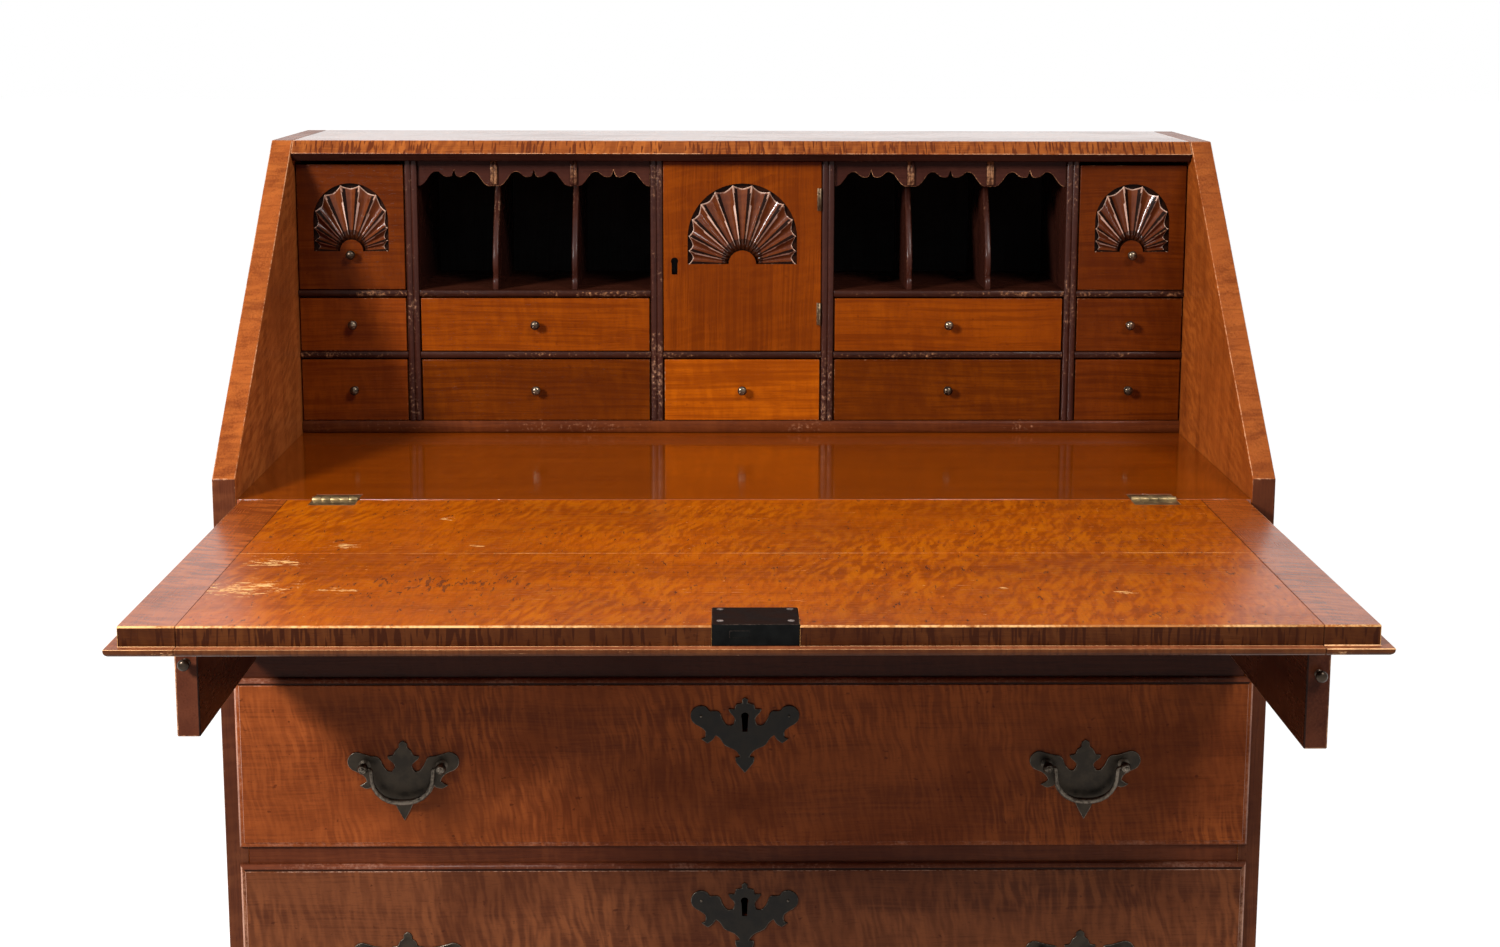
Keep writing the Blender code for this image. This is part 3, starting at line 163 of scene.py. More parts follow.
def board(outline: Sequence[Point], axis: str, low: float, high: float) -> BMesh:
    """Saws an outline out of a board.

    Args:
        outline: Points in the two axes other than axis, in X, Y, Z order.
        axis: The axis through the board's thickness.
        low: Where the board starts along axis.
        high: Where it ends.

    Returns:
        The board.
    """
    across = "XYZ".index(axis)
    shape = bmesh.new()
    corners = []
    for pair in outline:
        spot = list(pair)
        spot.insert(across, low)
        corners.append(shape.verts.new(spot))
    grown = bmesh.ops.extrude_face_region(shape, geom=[shape.faces.new(corners)])["geom"]
    step = Vector()
    step[across] = high - low
    bmesh.ops.translate(shape, vec=step, verts=picked(BMVert, grown))
    bmesh.ops.recalc_face_normals(shape, faces=shape.faces)
    return shape


def turned(profile: Sequence[Point], sides: int, at: Place = (0, 0, 0)) -> BMesh:
    """Turns a profile on a lathe whose axis points to the front.

    Args:
        profile: Radius and reach in front of the seat, from the back to the front.
        sides: Steps round the axis.
        at: The seat's place.

    Returns:
        The turned piece.
    """
    shape = bmesh.new()
    line = [shape.verts.new((radius, -reach, 0)) for radius, reach in profile]
    edges = [shape.edges.new(pair) for pair in zip(line, line[1:])]
    bmesh.ops.spin(
        shape,
        geom=line + edges,
        cent=(0, 0, 0),
        axis=(0, 1, 0),
        angle=math.tau,
        steps=sides,
        use_merge=True,
    )
    bmesh.ops.remove_doubles(shape, verts=shape.verts, dist=TINY)
    bmesh.ops.recalc_face_normals(shape, faces=shape.faces)
    return placed(shape, at)


def bar(length: float, radius: float, at: Place, turn: tuple[float, str], nose: float = 0) -> BMesh:
    """Makes a round bar.

    Args:
        length: Its length.
        radius: Its radius.
        at: The middle of its first end.
        turn: The angle and axis that turn it from the front.
        nose: How far its ends are rounded.

    Returns:
        The bar.
    """
    line = [(radius, 0), (radius, length)]
    if nose:
        tip = radius * 0.8
        line = [(tip, 0), (radius, nose), (radius, length - nose), (tip, length)]
    return placed(turned([(0, 0), *line, (0, length)], 20), at, turn)


def drawn_rod(path: Sequence[Place], radii: Sequence[float], sides: int) -> BMesh:
    """Draws a round rod along a bent line.

    Args:
        path: The rod's middle line.
        radii: Its radius at each point of the line.
        sides: Steps round the rod.

    Returns:
        The closed rod.
    """
    line = [Vector(p) for p in path]
    seats = []
    for i, spot in enumerate(line):
        ahead = line[min(i + 1, len(line) - 1)] - line[max(i - 1, 0)]
        turn = Vector((0, 0, 1)).rotation_difference(ahead.normalized()).to_matrix().to_4x4()
        seats.append(Matrix.Translation(spot) @ turn @ Matrix.Scale(radii[i], 4))
    shape = bmesh.new()
    ring = bmesh.ops.create_circle(shape, cap_ends=True, segments=sides, radius=1)["verts"]
    bmesh.ops.transform(shape, matrix=seats[0], verts=ring)
    edges = [e for e in shape.edges if all(v in ring for v in e.verts)]
    for before, after in zip(seats, seats[1:]):
        grown = bmesh.ops.extrude_edge_only(shape, edges=edges)["geom"]
        ring = picked(BMVert, grown)
        edges = [e for e in picked(BMEdge, grown) if all(v in ring for v in e.verts)]
        bmesh.ops.transform(shape, matrix=after @ before.inverted(), verts=ring)
    bmesh.ops.edgeloop_fill(shape, edges=edges)
    bmesh.ops.recalc_face_normals(shape, faces=shape.faces)
    return shape


def flowing(points: Sequence[Point], steps: int = 4, cusp: float = 62.0) -> list[Point]:
    """Runs a smooth closed line through points and keeps its sharp corners.

    Args:
        points: The line's points in order.
        steps: Pieces that each stretch is divided into.
        cusp: The turn in degrees from which a corner stays sharp.

    Returns:
        The finer line.
    """
    spots = [Vector(p) for p in points]
    count = len(spots)
    sharp = []
    for i in range(count):
        into = spots[i] - spots[i - 1]
        out = spots[(i + 1) % count] - spots[i]
        sharp.append(into.length == 0 or out.length == 0 or into.angle(out) > math.radians(cusp))
    fine: list[Point] = []
    for i in range(count):
        a, b = spots[i], spots[(i + 1) % count]
        lead = (b - a) if sharp[i] else (b - spots[i - 1]) / 2
        tail = (b - a) if sharp[(i + 1) % count] else (spots[(i + 2) % count] - a) / 2
        for slope in (lead, tail):
            if slope.length > (b - a).length:
                slope *= (b - a).length / slope.length
        for k in range(steps):
            t = k / steps
            spot = (2 * t**3 - 3 * t**2 + 1) * a + (t**3 - 2 * t**2 + t) * lead
            spot = spot + (3 * t**2 - 2 * t**3) * b + (t**3 - t**2) * tail
            fine.append((spot.x, spot.y))
    return fine


def wear_layer(shape: BMesh) -> bmesh.types.BMLayerItem:
    """The layer that keeps each corner's mark: rubbed wear above 0, dirt and painted shade below.
    """
    return shape.loops.layers.float.get(WORN) or shape.loops.layers.float.new(WORN)


def arris(edge: BMEdge) -> bool:
    """Whether the faces beside an edge meet sharply."""
    return len(edge.link_faces) == 2 and edge.calc_face_angle(0) > SHARP


def edges_before(limit: float) -> EdgeTest:
    """Finds edges that lie in front of a limit along Y."""
    return lambda edge: all(v.co.y < limit for v in edge.verts)


def within(**limits: Point) -> FaceTest:
    """Finds faces by their middle (x, y, z) and by their normal (nx, ny, nz).

    Args:
        **limits: The two values that each of them has to lie between.

    Returns:
        The test for one face.
    """

    def found(face: BMFace) -> bool:
        """Whether a face keeps to every limit."""
        values = (*face.calc_center_median(), *face.normal)
        have = dict(zip(("x", "y", "z", "nx", "ny", "nz"), values))
        return all(low < have[name] < high for name, (low, high) in limits.items())

    return found


def ease(
    shape: BMesh, width: float, segments: int = 2, chosen: EdgeTest = arris, wear: float = 1.0
) -> BMesh:
    """Rounds the arrises of a shape and marks them as rubbed.

    Args:
        shape: The shape to work.
        width: The width that comes off each side of an arris.
        segments: Facets across the round.
        chosen: Picks the arrises.
        wear: How rubbed they are.

    Returns:
        The same shape.
    """
    layer = wear_layer(shape)
    made = bmesh.ops.bevel(
        shape,
        geom=[edge for edge in shape.edges if chosen(edge)],
        offset=width,
        segments=segments,
        profile=0.5,
        affect="EDGES",
        material=-1,
        clamp_overlap=True,
    )
    for face in made["faces"]:
        face.smooth = True
        for corner in face.loops:
            corner[layer] = wear
    return shape


def add(first: BMesh, *others: BMesh) -> BMesh:
    """Lays more shapes into a first one.

    Args:
        first: The shape that is kept.
        *others: The shapes that are used up.

    Returns:
        The first shape.
    """
    wear_layer(first)
    for other in others:
        wear_layer(other)
        mesh = bpy.data.meshes.new("laid")
        other.to_mesh(mesh)
        other.free()
        first.from_mesh(mesh)
        bpy.data.meshes.remove(mesh)
    return first


def cut(first: BMesh, second: BMesh) -> BMesh:
    """Takes one closed shape away from another.

    Args:
        first: The shape that is kept.
        second: The cutter.

    Returns:
        The new shape.
    """
    pair = []
    for shape in (first, second):
        mesh = bpy.data.meshes.new("blank")
        shape.to_mesh(mesh)
        shape.free()
        pair.append(bpy.data.objects.new("blank", mesh))
        bpy.context.scene.collection.objects.link(pair[-1])
    tool = pair[0].modifiers.new("cut", "BOOLEAN")
    tool.operation = "DIFFERENCE"
    tool.solver = "EXACT"
    tool.object = pair[1]
    graph = bpy.context.evaluated_depsgraph_get()
    result = bmesh.new()
    mesh = bpy.data.meshes.new_from_object(pair[0].evaluated_get(graph))
    result.from_mesh(mesh)
    bpy.data.meshes.remove(mesh)
    for obj in pair:
        data = obj.data
        bpy.data.objects.remove(obj, do_unlink=True)
        bpy.data.meshes.remove(data)
    return result


def mark_wear_and_shade(shape: BMesh, where: Mark | float) -> BMesh:
    """Marks how rubbed each face of a shape is, and where dirt and painted shade darken it.

    Args:
        shape: The shape to mark.
        where: The mark, or what gives it for the middle of a face: up to 1 for bare, down to -1
        for dirt and painted shade, and 0 to leave the face as it is.

    Returns:
        The same shape.
    """
    layer = wear_layer(shape)
    for face in shape.faces:
        mark = where(face.calc_center_median()) if callable(where) else where
        if mark:
            for corner in face.loops:
                corner[layer] = mark
    return shape


def rubbed_before(limit: float, mark: float, rest: float = 0.0) -> Mark:
    """Gives one mark in front of a limit along Y and another behind it."""
    return lambda spot: mark if spot.y < limit else rest


# Finishes


class Graph:
    """Adds shader nodes to one tree and links them."""

    def __init__(self, tree: bpy.types.NodeTree) -> None:
        """Takes the tree that the nodes go into."""
        self.tree = tree

    def node(self, kind: str, **settings: object) -> bpy.types.Node:
        """Adds a shader node of a kind, with its settings by name."""
        made = self.tree.nodes.new(f"ShaderNode{kind}")
        for name, value in settings.items():
            setattr(made, name, value)
        return made

    def feed(self, sockets: object, values: dict[str | int, object]) -> None:
        """Links or sets inputs.

        Args:
            sockets: A node's inputs.
            values: A socket or a value for each input, by the input's name or number.
        """
        for label, value in values.items():
            socket = sockets[label]
            if isinstance(value, Socket):
                self.tree.links.new(value, socket)
            elif isinstance(value, tuple) and len(value) == 3 and socket.type == "RGBA":
                socket.default_value = (*value, 1.0)
            else:
                socket.default_value = value

    def fed(self, kind: str, values: dict[str | int, object], **settings: object) -> object:
        """Adds a node, feeds it and gives its outputs."""
        made = self.node(kind, **settings)
        self.feed(made.inputs, values)
        return made.outputs

    def sum(self, kind: str, first: object, second: object = 0.0) -> Socket:
        """Works out one number from two."""
        return self.fed("Math", {0: first, 1: second}, operation=kind)[0]

    def times(self, first: object, second: object) -> Socket:
        """The product of two numbers."""
        return self.sum("MULTIPLY", first, second)

    def plus(self, first: object, second: object) -> Socket:
        """The sum of two numbers."""
        return self.sum("ADD", first, second)

    def vector(self, kind: str, first: object, second: object) -> Socket:
        """Works out one vector from two, axis by axis."""
        return self.fed("VectorMath", {0: first, 1: second}, operation=kind)[0]

    def noise(
        self, at: object, scale: object, detail: float = 2.0, rough: float = 0.5, out: str = "Fac"
    ) -> Socket:
        """Reads a noise texture.

        Args:
            at: Where it is read.
            scale: Its scale, or a vector with one for each axis.
            detail: Its finer layers.
            rough: How much the finer layers count.
            out: The output that is wanted.

        Returns:
            The output.
        """
        if not isinstance(scale, float):
            at, scale = self.vector("MULTIPLY", at, scale), 1.0
        values = {"Vector": at, "Scale": scale, "Detail": detail, "Roughness": rough}
        return self.fed("TexNoise", values)[out]

    def ramp(self, value: object, low: float, high: float, to: Point = (0.0, 1.0)) -> Socket:
        """Spreads a range of values smoothly over another.

        Args:
            value: The number or socket.
            low: The value that gives the first of to.
            high: The value that gives the second.
            to: The two ends of the result.

        Returns:
            The result.
        """
        values = {"Value": value, "From Min": low, "From Max": high}
        values |= {"To Min": to[0], "To Max": to[1]}
        return self.fed("MapRange", values, interpolation_type="SMOOTHSTEP")["Result"]

    def mix(self, share: object, first: object, second: object) -> Socket:
        """Mixes a share of a second colour into a first."""
        values = {"Factor": share, 6: first, 7: second}
        return self.fed("Mix", values, data_type="RGBA")[2]

    def bump(self, height: Socket, strength: float, distance: float) -> Socket:
        """A normal that follows a height."""
        values = {"Strength": strength, "Distance": distance, "Height": height}
        return self.fed("Bump", values)["Normal"]

    def seen(self) -> Socket:
        """Whether a surface is seen, straight on or in a reflection."""
        rays = self.node("LightPath").outputs
        seen = self.sum("MAXIMUM", rays["Is Camera Ray"], rays["Is Glossy Ray"])
        return self.sum("MAXIMUM", seen, rays["Is Transmission Ray"])


def new_group(name: str, takes: dict[str, object], gives: Sequence[str]) -> tuple:
    """Starts a shader node group.

    Args:
        name: The group's name.
        takes: The default of each input: a colour, a number, or None for a vector.
        gives: The outputs. All but Color are numbers.

    Returns:
        The tree, its graph, the sockets that it reads and the sockets that it feeds.
    """
    tree = bpy.data.node_groups.new(name, "ShaderNodeTree")
    for label, value in takes.items():
        kind = "Vector" if value is None else "Color" if isinstance(value, tuple) else "Float"
        socket = tree.interface.new_socket(label, in_out="INPUT", socket_type=f"NodeSocket{kind}")
        if value is not None:
            socket.default_value = (*value, 1.0) if kind == "Color" else value
    for label in gives:
        kind = "Color" if label == "Color" else "Float"
        tree.interface.new_socket(label, in_out="OUTPUT", socket_type=f"NodeSocket{kind}")
    get, put = tree.nodes.new("NodeGroupInput"), tree.nodes.new("NodeGroupOutput")
    return tree, Graph(tree), get.outputs, put.inputs


class Effects:
    """The shared effects of the desk's finishes, each a node group that is built once."""

    plain = (0.3, 0.1, 0.02)
    # The colour that negative marks darken towards: dirt along joints, and painted shade in
    # recesses.
    darkening = (0.006, 0.002, 0.001)
    half_back = (-0.5, -0.5, -0.5)
    lean = (0.0, math.radians(9), math.radians(14))

    def __init__(self) -> None:
        """Builds every group."""
        self.figure = self._figure()
        self.rubbing_and_shade = self._rubbing()
        self.scuffs = self._scuffs()

    def _figure(self) -> bpy.types.NodeTree:
        """Curly maple: grain, clouds, short cross curls, dark ticks, pores, specks, streaks."""
        takes = {"Vector": None, "Dark": (0.1, 0.03, 0.01), "Mid": self.plain}
        takes |= {"Light": (0.5, 0.2, 0.05), "Curl": 0.5, "Curl Pitch": 190.0, "Clouds": 0.5}
        takes |= {"Ticks": 0.0, "Specks": 0.4, "Streaks": 0.0}
        tree, g, get, put = new_group("maple_figure", takes, ("Color", "Height", "Dry"))
        spot = get["Vector"]
        sway = g.vector("ADD", g.noise(spot, 5.0, 2.0, out="Color"), self.half_back)
        bent = g.vector("ADD", spot, g.vector("MULTIPLY", sway, (0.0, 0.016, 0.016)))
        fine = g.noise(bent, (11.0, 620.0, 620.0), 3.0)
        bands = g.noise(bent, (2.2, 34.0, 34.0), 3.0)
        pores = g.ramp(g.noise(bent, (120.0, 1500.0, 1500.0), 1.0), 0.60, 0.72)
        wave = g.vector("ADD", g.noise(spot, 18.0, 2.0, out="Color"), self.half_back)
        wave = g.vector("ADD", spot, g.vector("MULTIPLY", wave, (0.016, 0.0, 0.0)))
        rows = g.fed("CombineXYZ", {0: get["Curl Pitch"], 1: 38.0, 2: 38.0})[0]
        leant = {"Vector": wave, "Rotation": self.lean}
        leant = g.fed("Mapping", leant, vector_type="POINT")[0]
        curl = g.noise(leant, rows, 1.5, 0.5)
        patch = g.times(g.ramp(g.noise(spot, 8.0, 2.0), 0.36, 0.62, (0.35, 1.0)), get["Curl"])
        valley = g.times(g.ramp(curl, 0.50, 0.34), patch)
        curl = g.times(g.ramp(curl, 0.42, 0.66), patch)
        cloud = g.ramp(g.noise(spot, (9.0, 12.0, 12.0), 5.0, 0.6), 0.42, 0.68)
        cloud = g.times(cloud, get["Clouds"])
        tick = g.noise(spot, (400.0, 42.0, 42.0), 1.0)
        where = g.sum("SUBTRACT", 0.66, g.times(g.noise(spot, 9.0, 1.0), 0.24))
        tick = g.times(g.ramp(g.sum("SUBTRACT", tick, where), 0.0, 0.07), get["Ticks"])
        dots = g.ramp(g.noise(spot, (150.0, 210.0, 210.0), 2.0), 0.69, 0.76)
        dots = g.times(dots, get["Specks"])
        streak = g.ramp(g.noise(bent, (5.0, 230.0, 230.0), 2.0, 0.6), 0.44, 0.66)
        streak = g.times(streak, get["Streaks"])
        body = g.plus(g.times(fine, 0.45), g.times(bands, 0.55))
        tone = g.mix(g.ramp(body, 0.32, 0.58, (0.35, 1.0)), get["Dark"], get["Mid"])
        tone = g.mix(curl, tone, get["Light"])
        for mask in (g.times(valley, 0.42), cloud, g.times(pores, 0.35), tick, dots, streak):
            tone = g.mix(mask, tone, get["Dark"])
        height = g.sum("SUBTRACT", g.plus(fine, g.times(curl, 0.4)), pores)
        dry = g.plus(g.times(fine, 0.5), cloud)
        g.feed(put, {"Color": tone, "Height": height, "Dry": dry})
        return tree

    def _rubbing(self) -> bpy.types.NodeTree:
        """Polish rubbed through in flecks on marked arrises; dirt and painted shade on negative
        marks.
        """
        takes = {"Color": self.plain, "Bare": (0.6, 0.35, 0.15), "Mark": 0.0, "Amount": 0.5}
        tree, g, get, put = new_group("rub_and_shade", takes | {"Vector": None}, ("Color", "Mask"))
        flecks = g.noise(get["Vector"], 330.0, 4.0, 0.7)
        reach = g.noise(get["Vector"], 17.0, 2.0)
        both = g.plus(g.times(flecks, 0.7), g.times(reach, 0.5))
        both = g.plus(both, g.sum("SUBTRACT", get["Amount"], 0.5))
        bare = g.fed("Clamp", {"Value": get["Mark"]})[0]
        mask = g.times(g.ramp(both, 0.50, 0.74), bare)
        darkened = g.fed("Clamp", {"Value": g.times(get["Mark"], -1.0)})[0]
        tone = g.mix(darkened, g.mix(mask, get["Color"], get["Bare"]), self.darkening)
        g.feed(put, {"Color": tone, "Mask": mask})
        return tree

    def _scuffs(self) -> bpy.types.NodeTree:
        """Pale flakes gathered round some places, fine scratches and dark knots."""
        takes = {"Color": self.plain, "Pale": (0.7, 0.45, 0.2), "Spot": (0.03, 0.01, 0.006)}
        takes |= {"Amount": 0.5, "Vector": None, "Near": 0.0, "Near Dark": 0.0}
        tree, g, get, put = new_group("scuffs_of_use", takes, ("Color", "Mask"))
        spot, amount = get["Vector"], get["Amount"]
        flakes = g.noise(spot, (75.0, 210.0, 210.0), 8.0, 0.78)
        patch = g.ramp(g.plus(flakes, g.times(get["Near"], 0.17)), 0.655, 0.69)
        lines = g.ramp(g.noise(spot, (22.0, 900.0, 900.0), 2.0), 0.70, 0.76)
        lines = g.times(g.times(lines, g.ramp(flakes, 0.5, 0.6)), 0.5)
        patch = g.times(g.sum("MAXIMUM", patch, lines), amount)
        knots = {"Vector": g.vector("MULTIPLY", spot, (11.0, 16.0, 16.0)), "Scale": 1.0}
        knots = g.fed("TexVoronoi", knots, feature="F1")["Distance"]
        dark = g.times(g.ramp(knots, 0.075, 0.03), g.ramp(g.noise(spot, 9.0), 0.5, 0.56))
        nicks = g.noise(spot, (300.0, 75.0, 300.0), 2.0, 0.55)
        nicks = g.ramp(g.plus(nicks, g.times(get["Near Dark"], 0.15)), 0.66, 0.72)
        dark = g.times(g.sum("MAXIMUM", dark, g.times(nicks, 0.7)), amount)
        tone = g.mix(dark, g.mix(patch, get["Color"], get["Pale"]), get["Spot"])
        g.feed(put, {"Color": tone, "Mask": patch})
        return tree


@dataclass(frozen=True)
class Finish:
    """A named finish."""

    name: str

    def start(self) -> tuple[bpy.types.Material, Graph, object, Socket]:
        """The new material, its graph, its shader's inputs and the place on the object."""
        material = bpy.data.materials.new(self.name)
        material.use_nodes = True
        g = Graph(material.node_tree)
        shader = material.node_tree.nodes["Principled BSDF"]
        return material, g, shader.inputs, g.node("TexCoord").outputs["Object"]

    def rub(self, g: Graph, effects: Effects, spot: Socket, *look: object) -> object:
        """Rubs the finish where it is marked, and darkens it with dirt and painted shade below 0.

        Args:
            g: The material's graph.
            effects: The shared node groups.
            spot: The place on the object.
            *look: The finish's colour, the colour under it and the amount of wear.

        Returns:
            The outputs Color and Mask.
        """
        mark = g.node("Attribute", attribute_name=WORN).outputs["Fac"]
        values = dict(zip(("Color", "Bare", "Amount"), look)) | {"Mark": mark, "Vector": spot}
        return g.fed("Group", values, node_tree=effects.rubbing_and_shade)


@dataclass(frozen=True)
class Maple(Finish):
    """Polished maple: its colour, figure, gloss and wear."""

    colour: Colour
    grain: Grain = Grain.ACROSS
    curl: float = 0.5
    pitch: float = 190.0
    clouds: float = 0.5
    ticks: float = 0.0
    specks: float = 0.5
    streaks: float = 0.0
    deep: Colour = (0.38, 0.30, 0.34)
    high: Colour = (1.45, 1.65, 1.6)
    gloss: Point = (0.26, 0.42)
    shine: float = 0.06
    coat: float = 0.0
    bare: Colour = (0.50, 0.24, 0.12)
    wear: float = 0.40
    scuffs: float = 0.0
    flakes_at: tuple[tuple[Place, Place], ...] = ()
    nicks_at: tuple[tuple[Place, Place], ...] = ()
    dry: Point = (0.2, 1.2)
    bare_rough: float = 0.25
    coat_rough: float = 0.6
    relief: Point = (0.5, 0.0001)

    def shade(self, by: Colour) -> Colour:
        """The finish's colour, multiplied."""
        return tuple(min(c * k, 1.0) for c, k in zip(self.colour, by))

    def nearness(self, g: Graph, spot: Socket, places: Sequence[tuple[Place, Place]]) -> object:
        """How near a point is to any of some places.

        Args:
            g: The material's graph.
            spot: The point.
            places: The middle and the reach of each place.

        Returns:
            1 in the middle of a place and 0 beyond its reach.
        """
        near: object = 0.0
        for middle, reach in places:
            values = {"Vector": spot, "Location": middle, "Scale": reach}
            centred = g.fed("Mapping", values, vector_type="TEXTURE")[0]
            far = g.fed("VectorMath", {0: centred}, operation="LENGTH")["Value"]
            near = g.sum("MAXIMUM", near, g.ramp(far, 1.0, 0.0))
        return near

    def make(self, effects: Effects) -> bpy.types.Material:
        """Mixes the material.

        Args:
            effects: The shared node groups.

        Returns:
            The material.
        """
        material, g, shader, spot = self.start()
        laid = {"Vector": spot, "Rotation": self.grain.value}
        laid = g.fed("Mapping", laid, vector_type="POINT")[0]
        values = {"Vector": laid, "Dark": self.shade(self.deep), "Mid": self.colour}
        values |= {"Light": self.shade(self.high), "Curl": self.curl, "Curl Pitch": self.pitch}
        values |= {"Clouds": self.clouds, "Ticks": self.ticks, "Specks": self.specks}
        values |= {"Streaks": self.streaks}
        figure = g.fed("Group", values, node_tree=effects.figure)
        rubbed = self.rub(g, effects, spot, figure["Color"], self.bare, self.wear)
        tone, mask = rubbed["Color"], rubbed["Mask"]
        if self.scuffs:
            values = {"Color": tone, "Pale": self.bare, "Amount": self.scuffs, "Vector": laid}
            values |= {"Near": self.nearness(g, spot, self.flakes_at)}
            values |= {"Near Dark": self.nearness(g, spot, self.nicks_at)}
            scuffed = g.fed("Group", values, node_tree=effects.scuffs)
            tone, mask = scuffed["Color"], g.sum("MAXIMUM", mask, scuffed["Mask"])
        rough = g.ramp(figure["Dry"], *self.dry, self.gloss)
        rough = g.plus(rough, g.times(mask, self.bare_rough))
        values = {"Base Color": tone, "Roughness": rough, "Specular IOR Level": self.shine}
        values |= {"Coat Weight": self.coat, "Coat Roughness": self.gloss[0] * self.coat_rough}
        g.feed(shader, values | {"Normal": g.bump(figure["Height"], *self.relief)})
        return material


@dataclass(frozen=True)
class Metal(Finish):
    """Old metal: its patina, the metal under it and how bright its arrises are rubbed."""

    patina: Colour
    bright: Colour
    metallic: float = 0.85
    gloss: Point = (0.34, 0.52)
    wear: float = 0.5
    shine: float = 0.5
    cloud: Place = (90.0, 4.0, 0.6)
    spread: Point = (0.35, 0.65)
    deep: float = 0.45
    dry: Point = (0.3, 0.7)
    bare_rough: float = -0.1
    relief: Point = (0.35, 0.0001)

    def make(self, effects: Effects) -> bpy.types.Material:
        """Mixes the material.

        Args:
            effects: The shared node groups.

        Returns:
            The material.
        """
        material, g, shader, spot = self.start()
        cloud = g.noise(spot, *self.cloud)
        deep = tuple(c * self.deep for c in self.patina)
        tone = g.mix(g.ramp(cloud, *self.spread), deep, self.patina)
        rubbed = self.rub(g, effects, spot, tone, self.bright, self.wear)
        rough = g.ramp(cloud, *self.dry, self.gloss)
        rough = g.plus(rough, g.times(rubbed["Mask"], self.bare_rough))
        values = {"Base Color": rubbed["Color"], "Roughness": rough, "Metallic": self.metallic}
        values |= {"Specular IOR Level": self.shine, "Normal": g.bump(cloud, *self.relief)}
        g.feed(shader, values)
        return material


ACROSS, DEPTH, UPRIGHT = Grain
WORN_CORNERS = (
    ((-0.400, -0.452, 0.787), (0.020, 0.014, 0.006)),
    ((0.400, -0.452, 0.787), (0.018, 0.014, 0.006)),
)
LID_LEVEL, LID_DEPTH = 0.805, 0.012
LID_FLAKES = (
    (-0.366, -0.343, 0.060, 0.046), (-0.360, -0.266, 0.044, 0.028), (-0.315, -0.212, 0.020, 0.016),
    (-0.300, -0.348, 0.026, 0.012), (-0.213, -0.212, 0.014, 0.010), (-0.247, -0.115, 0.013, 0.012),
    (0.272, -0.356, 0.022, 0.008), (0.186, -0.344, 0.011, 0.006),
)
LID_NICKS = (
    (-0.225, -0.330, 0.11, 0.05), (0.285, -0.414, 0.009, 0.010), (0.330, -0.302, 0.06, 0.006),
    (-0.323, -0.192, 0.010, 0.010),
)


def on_lid(spots: Sequence[tuple[float, ...]]) -> tuple[tuple[Place, Place], ...]:
    """Lays spots on the lid: the middle and the reach of each, from their X and Y."""
    return tuple(((x, y, LID_LEVEL), (wide, deep, LID_DEPTH)) for x, y, wide, deep in spots)


DRAWER = Maple(
    "long_drawer", (0.225, 0.0500, 0.0100), curl=0.9, pitch=320.0, clouds=0.55, specks=0.8,
    high=(1.4, 1.5, 1.5), gloss=(0.30, 0.46), bare=(0.42, 0.20, 0.13), wear=0.45,
)
GALLERY_FRONT = Maple(
    "wide_bright", (0.191, 0.0356, 0.0009), curl=0.3, pitch=120.0, ticks=0.12, streaks=0.58,
    deep=(0.5, 0.4, 0.4), wear=0.35,
)
# Brighter copies of the side's finish for the sides' inner faces, the left brighter than the right:
# painted light.
LIT_SIDE_INNER = Maple("side_inner_left", (0.47, 0.135, 0.030), UPRIGHT, gloss=(0.18, 0.3))
PLAIN_WOOD = Maple(
    "inside_wood", (0.36, 0.215, 0.105), DEPTH, 0.1, clouds=0.3, deep=(0.6, 0.52, 0.45),
    high=(1.2, 1.25, 1.3), gloss=(0.55, 0.75), wear=0.3,
)
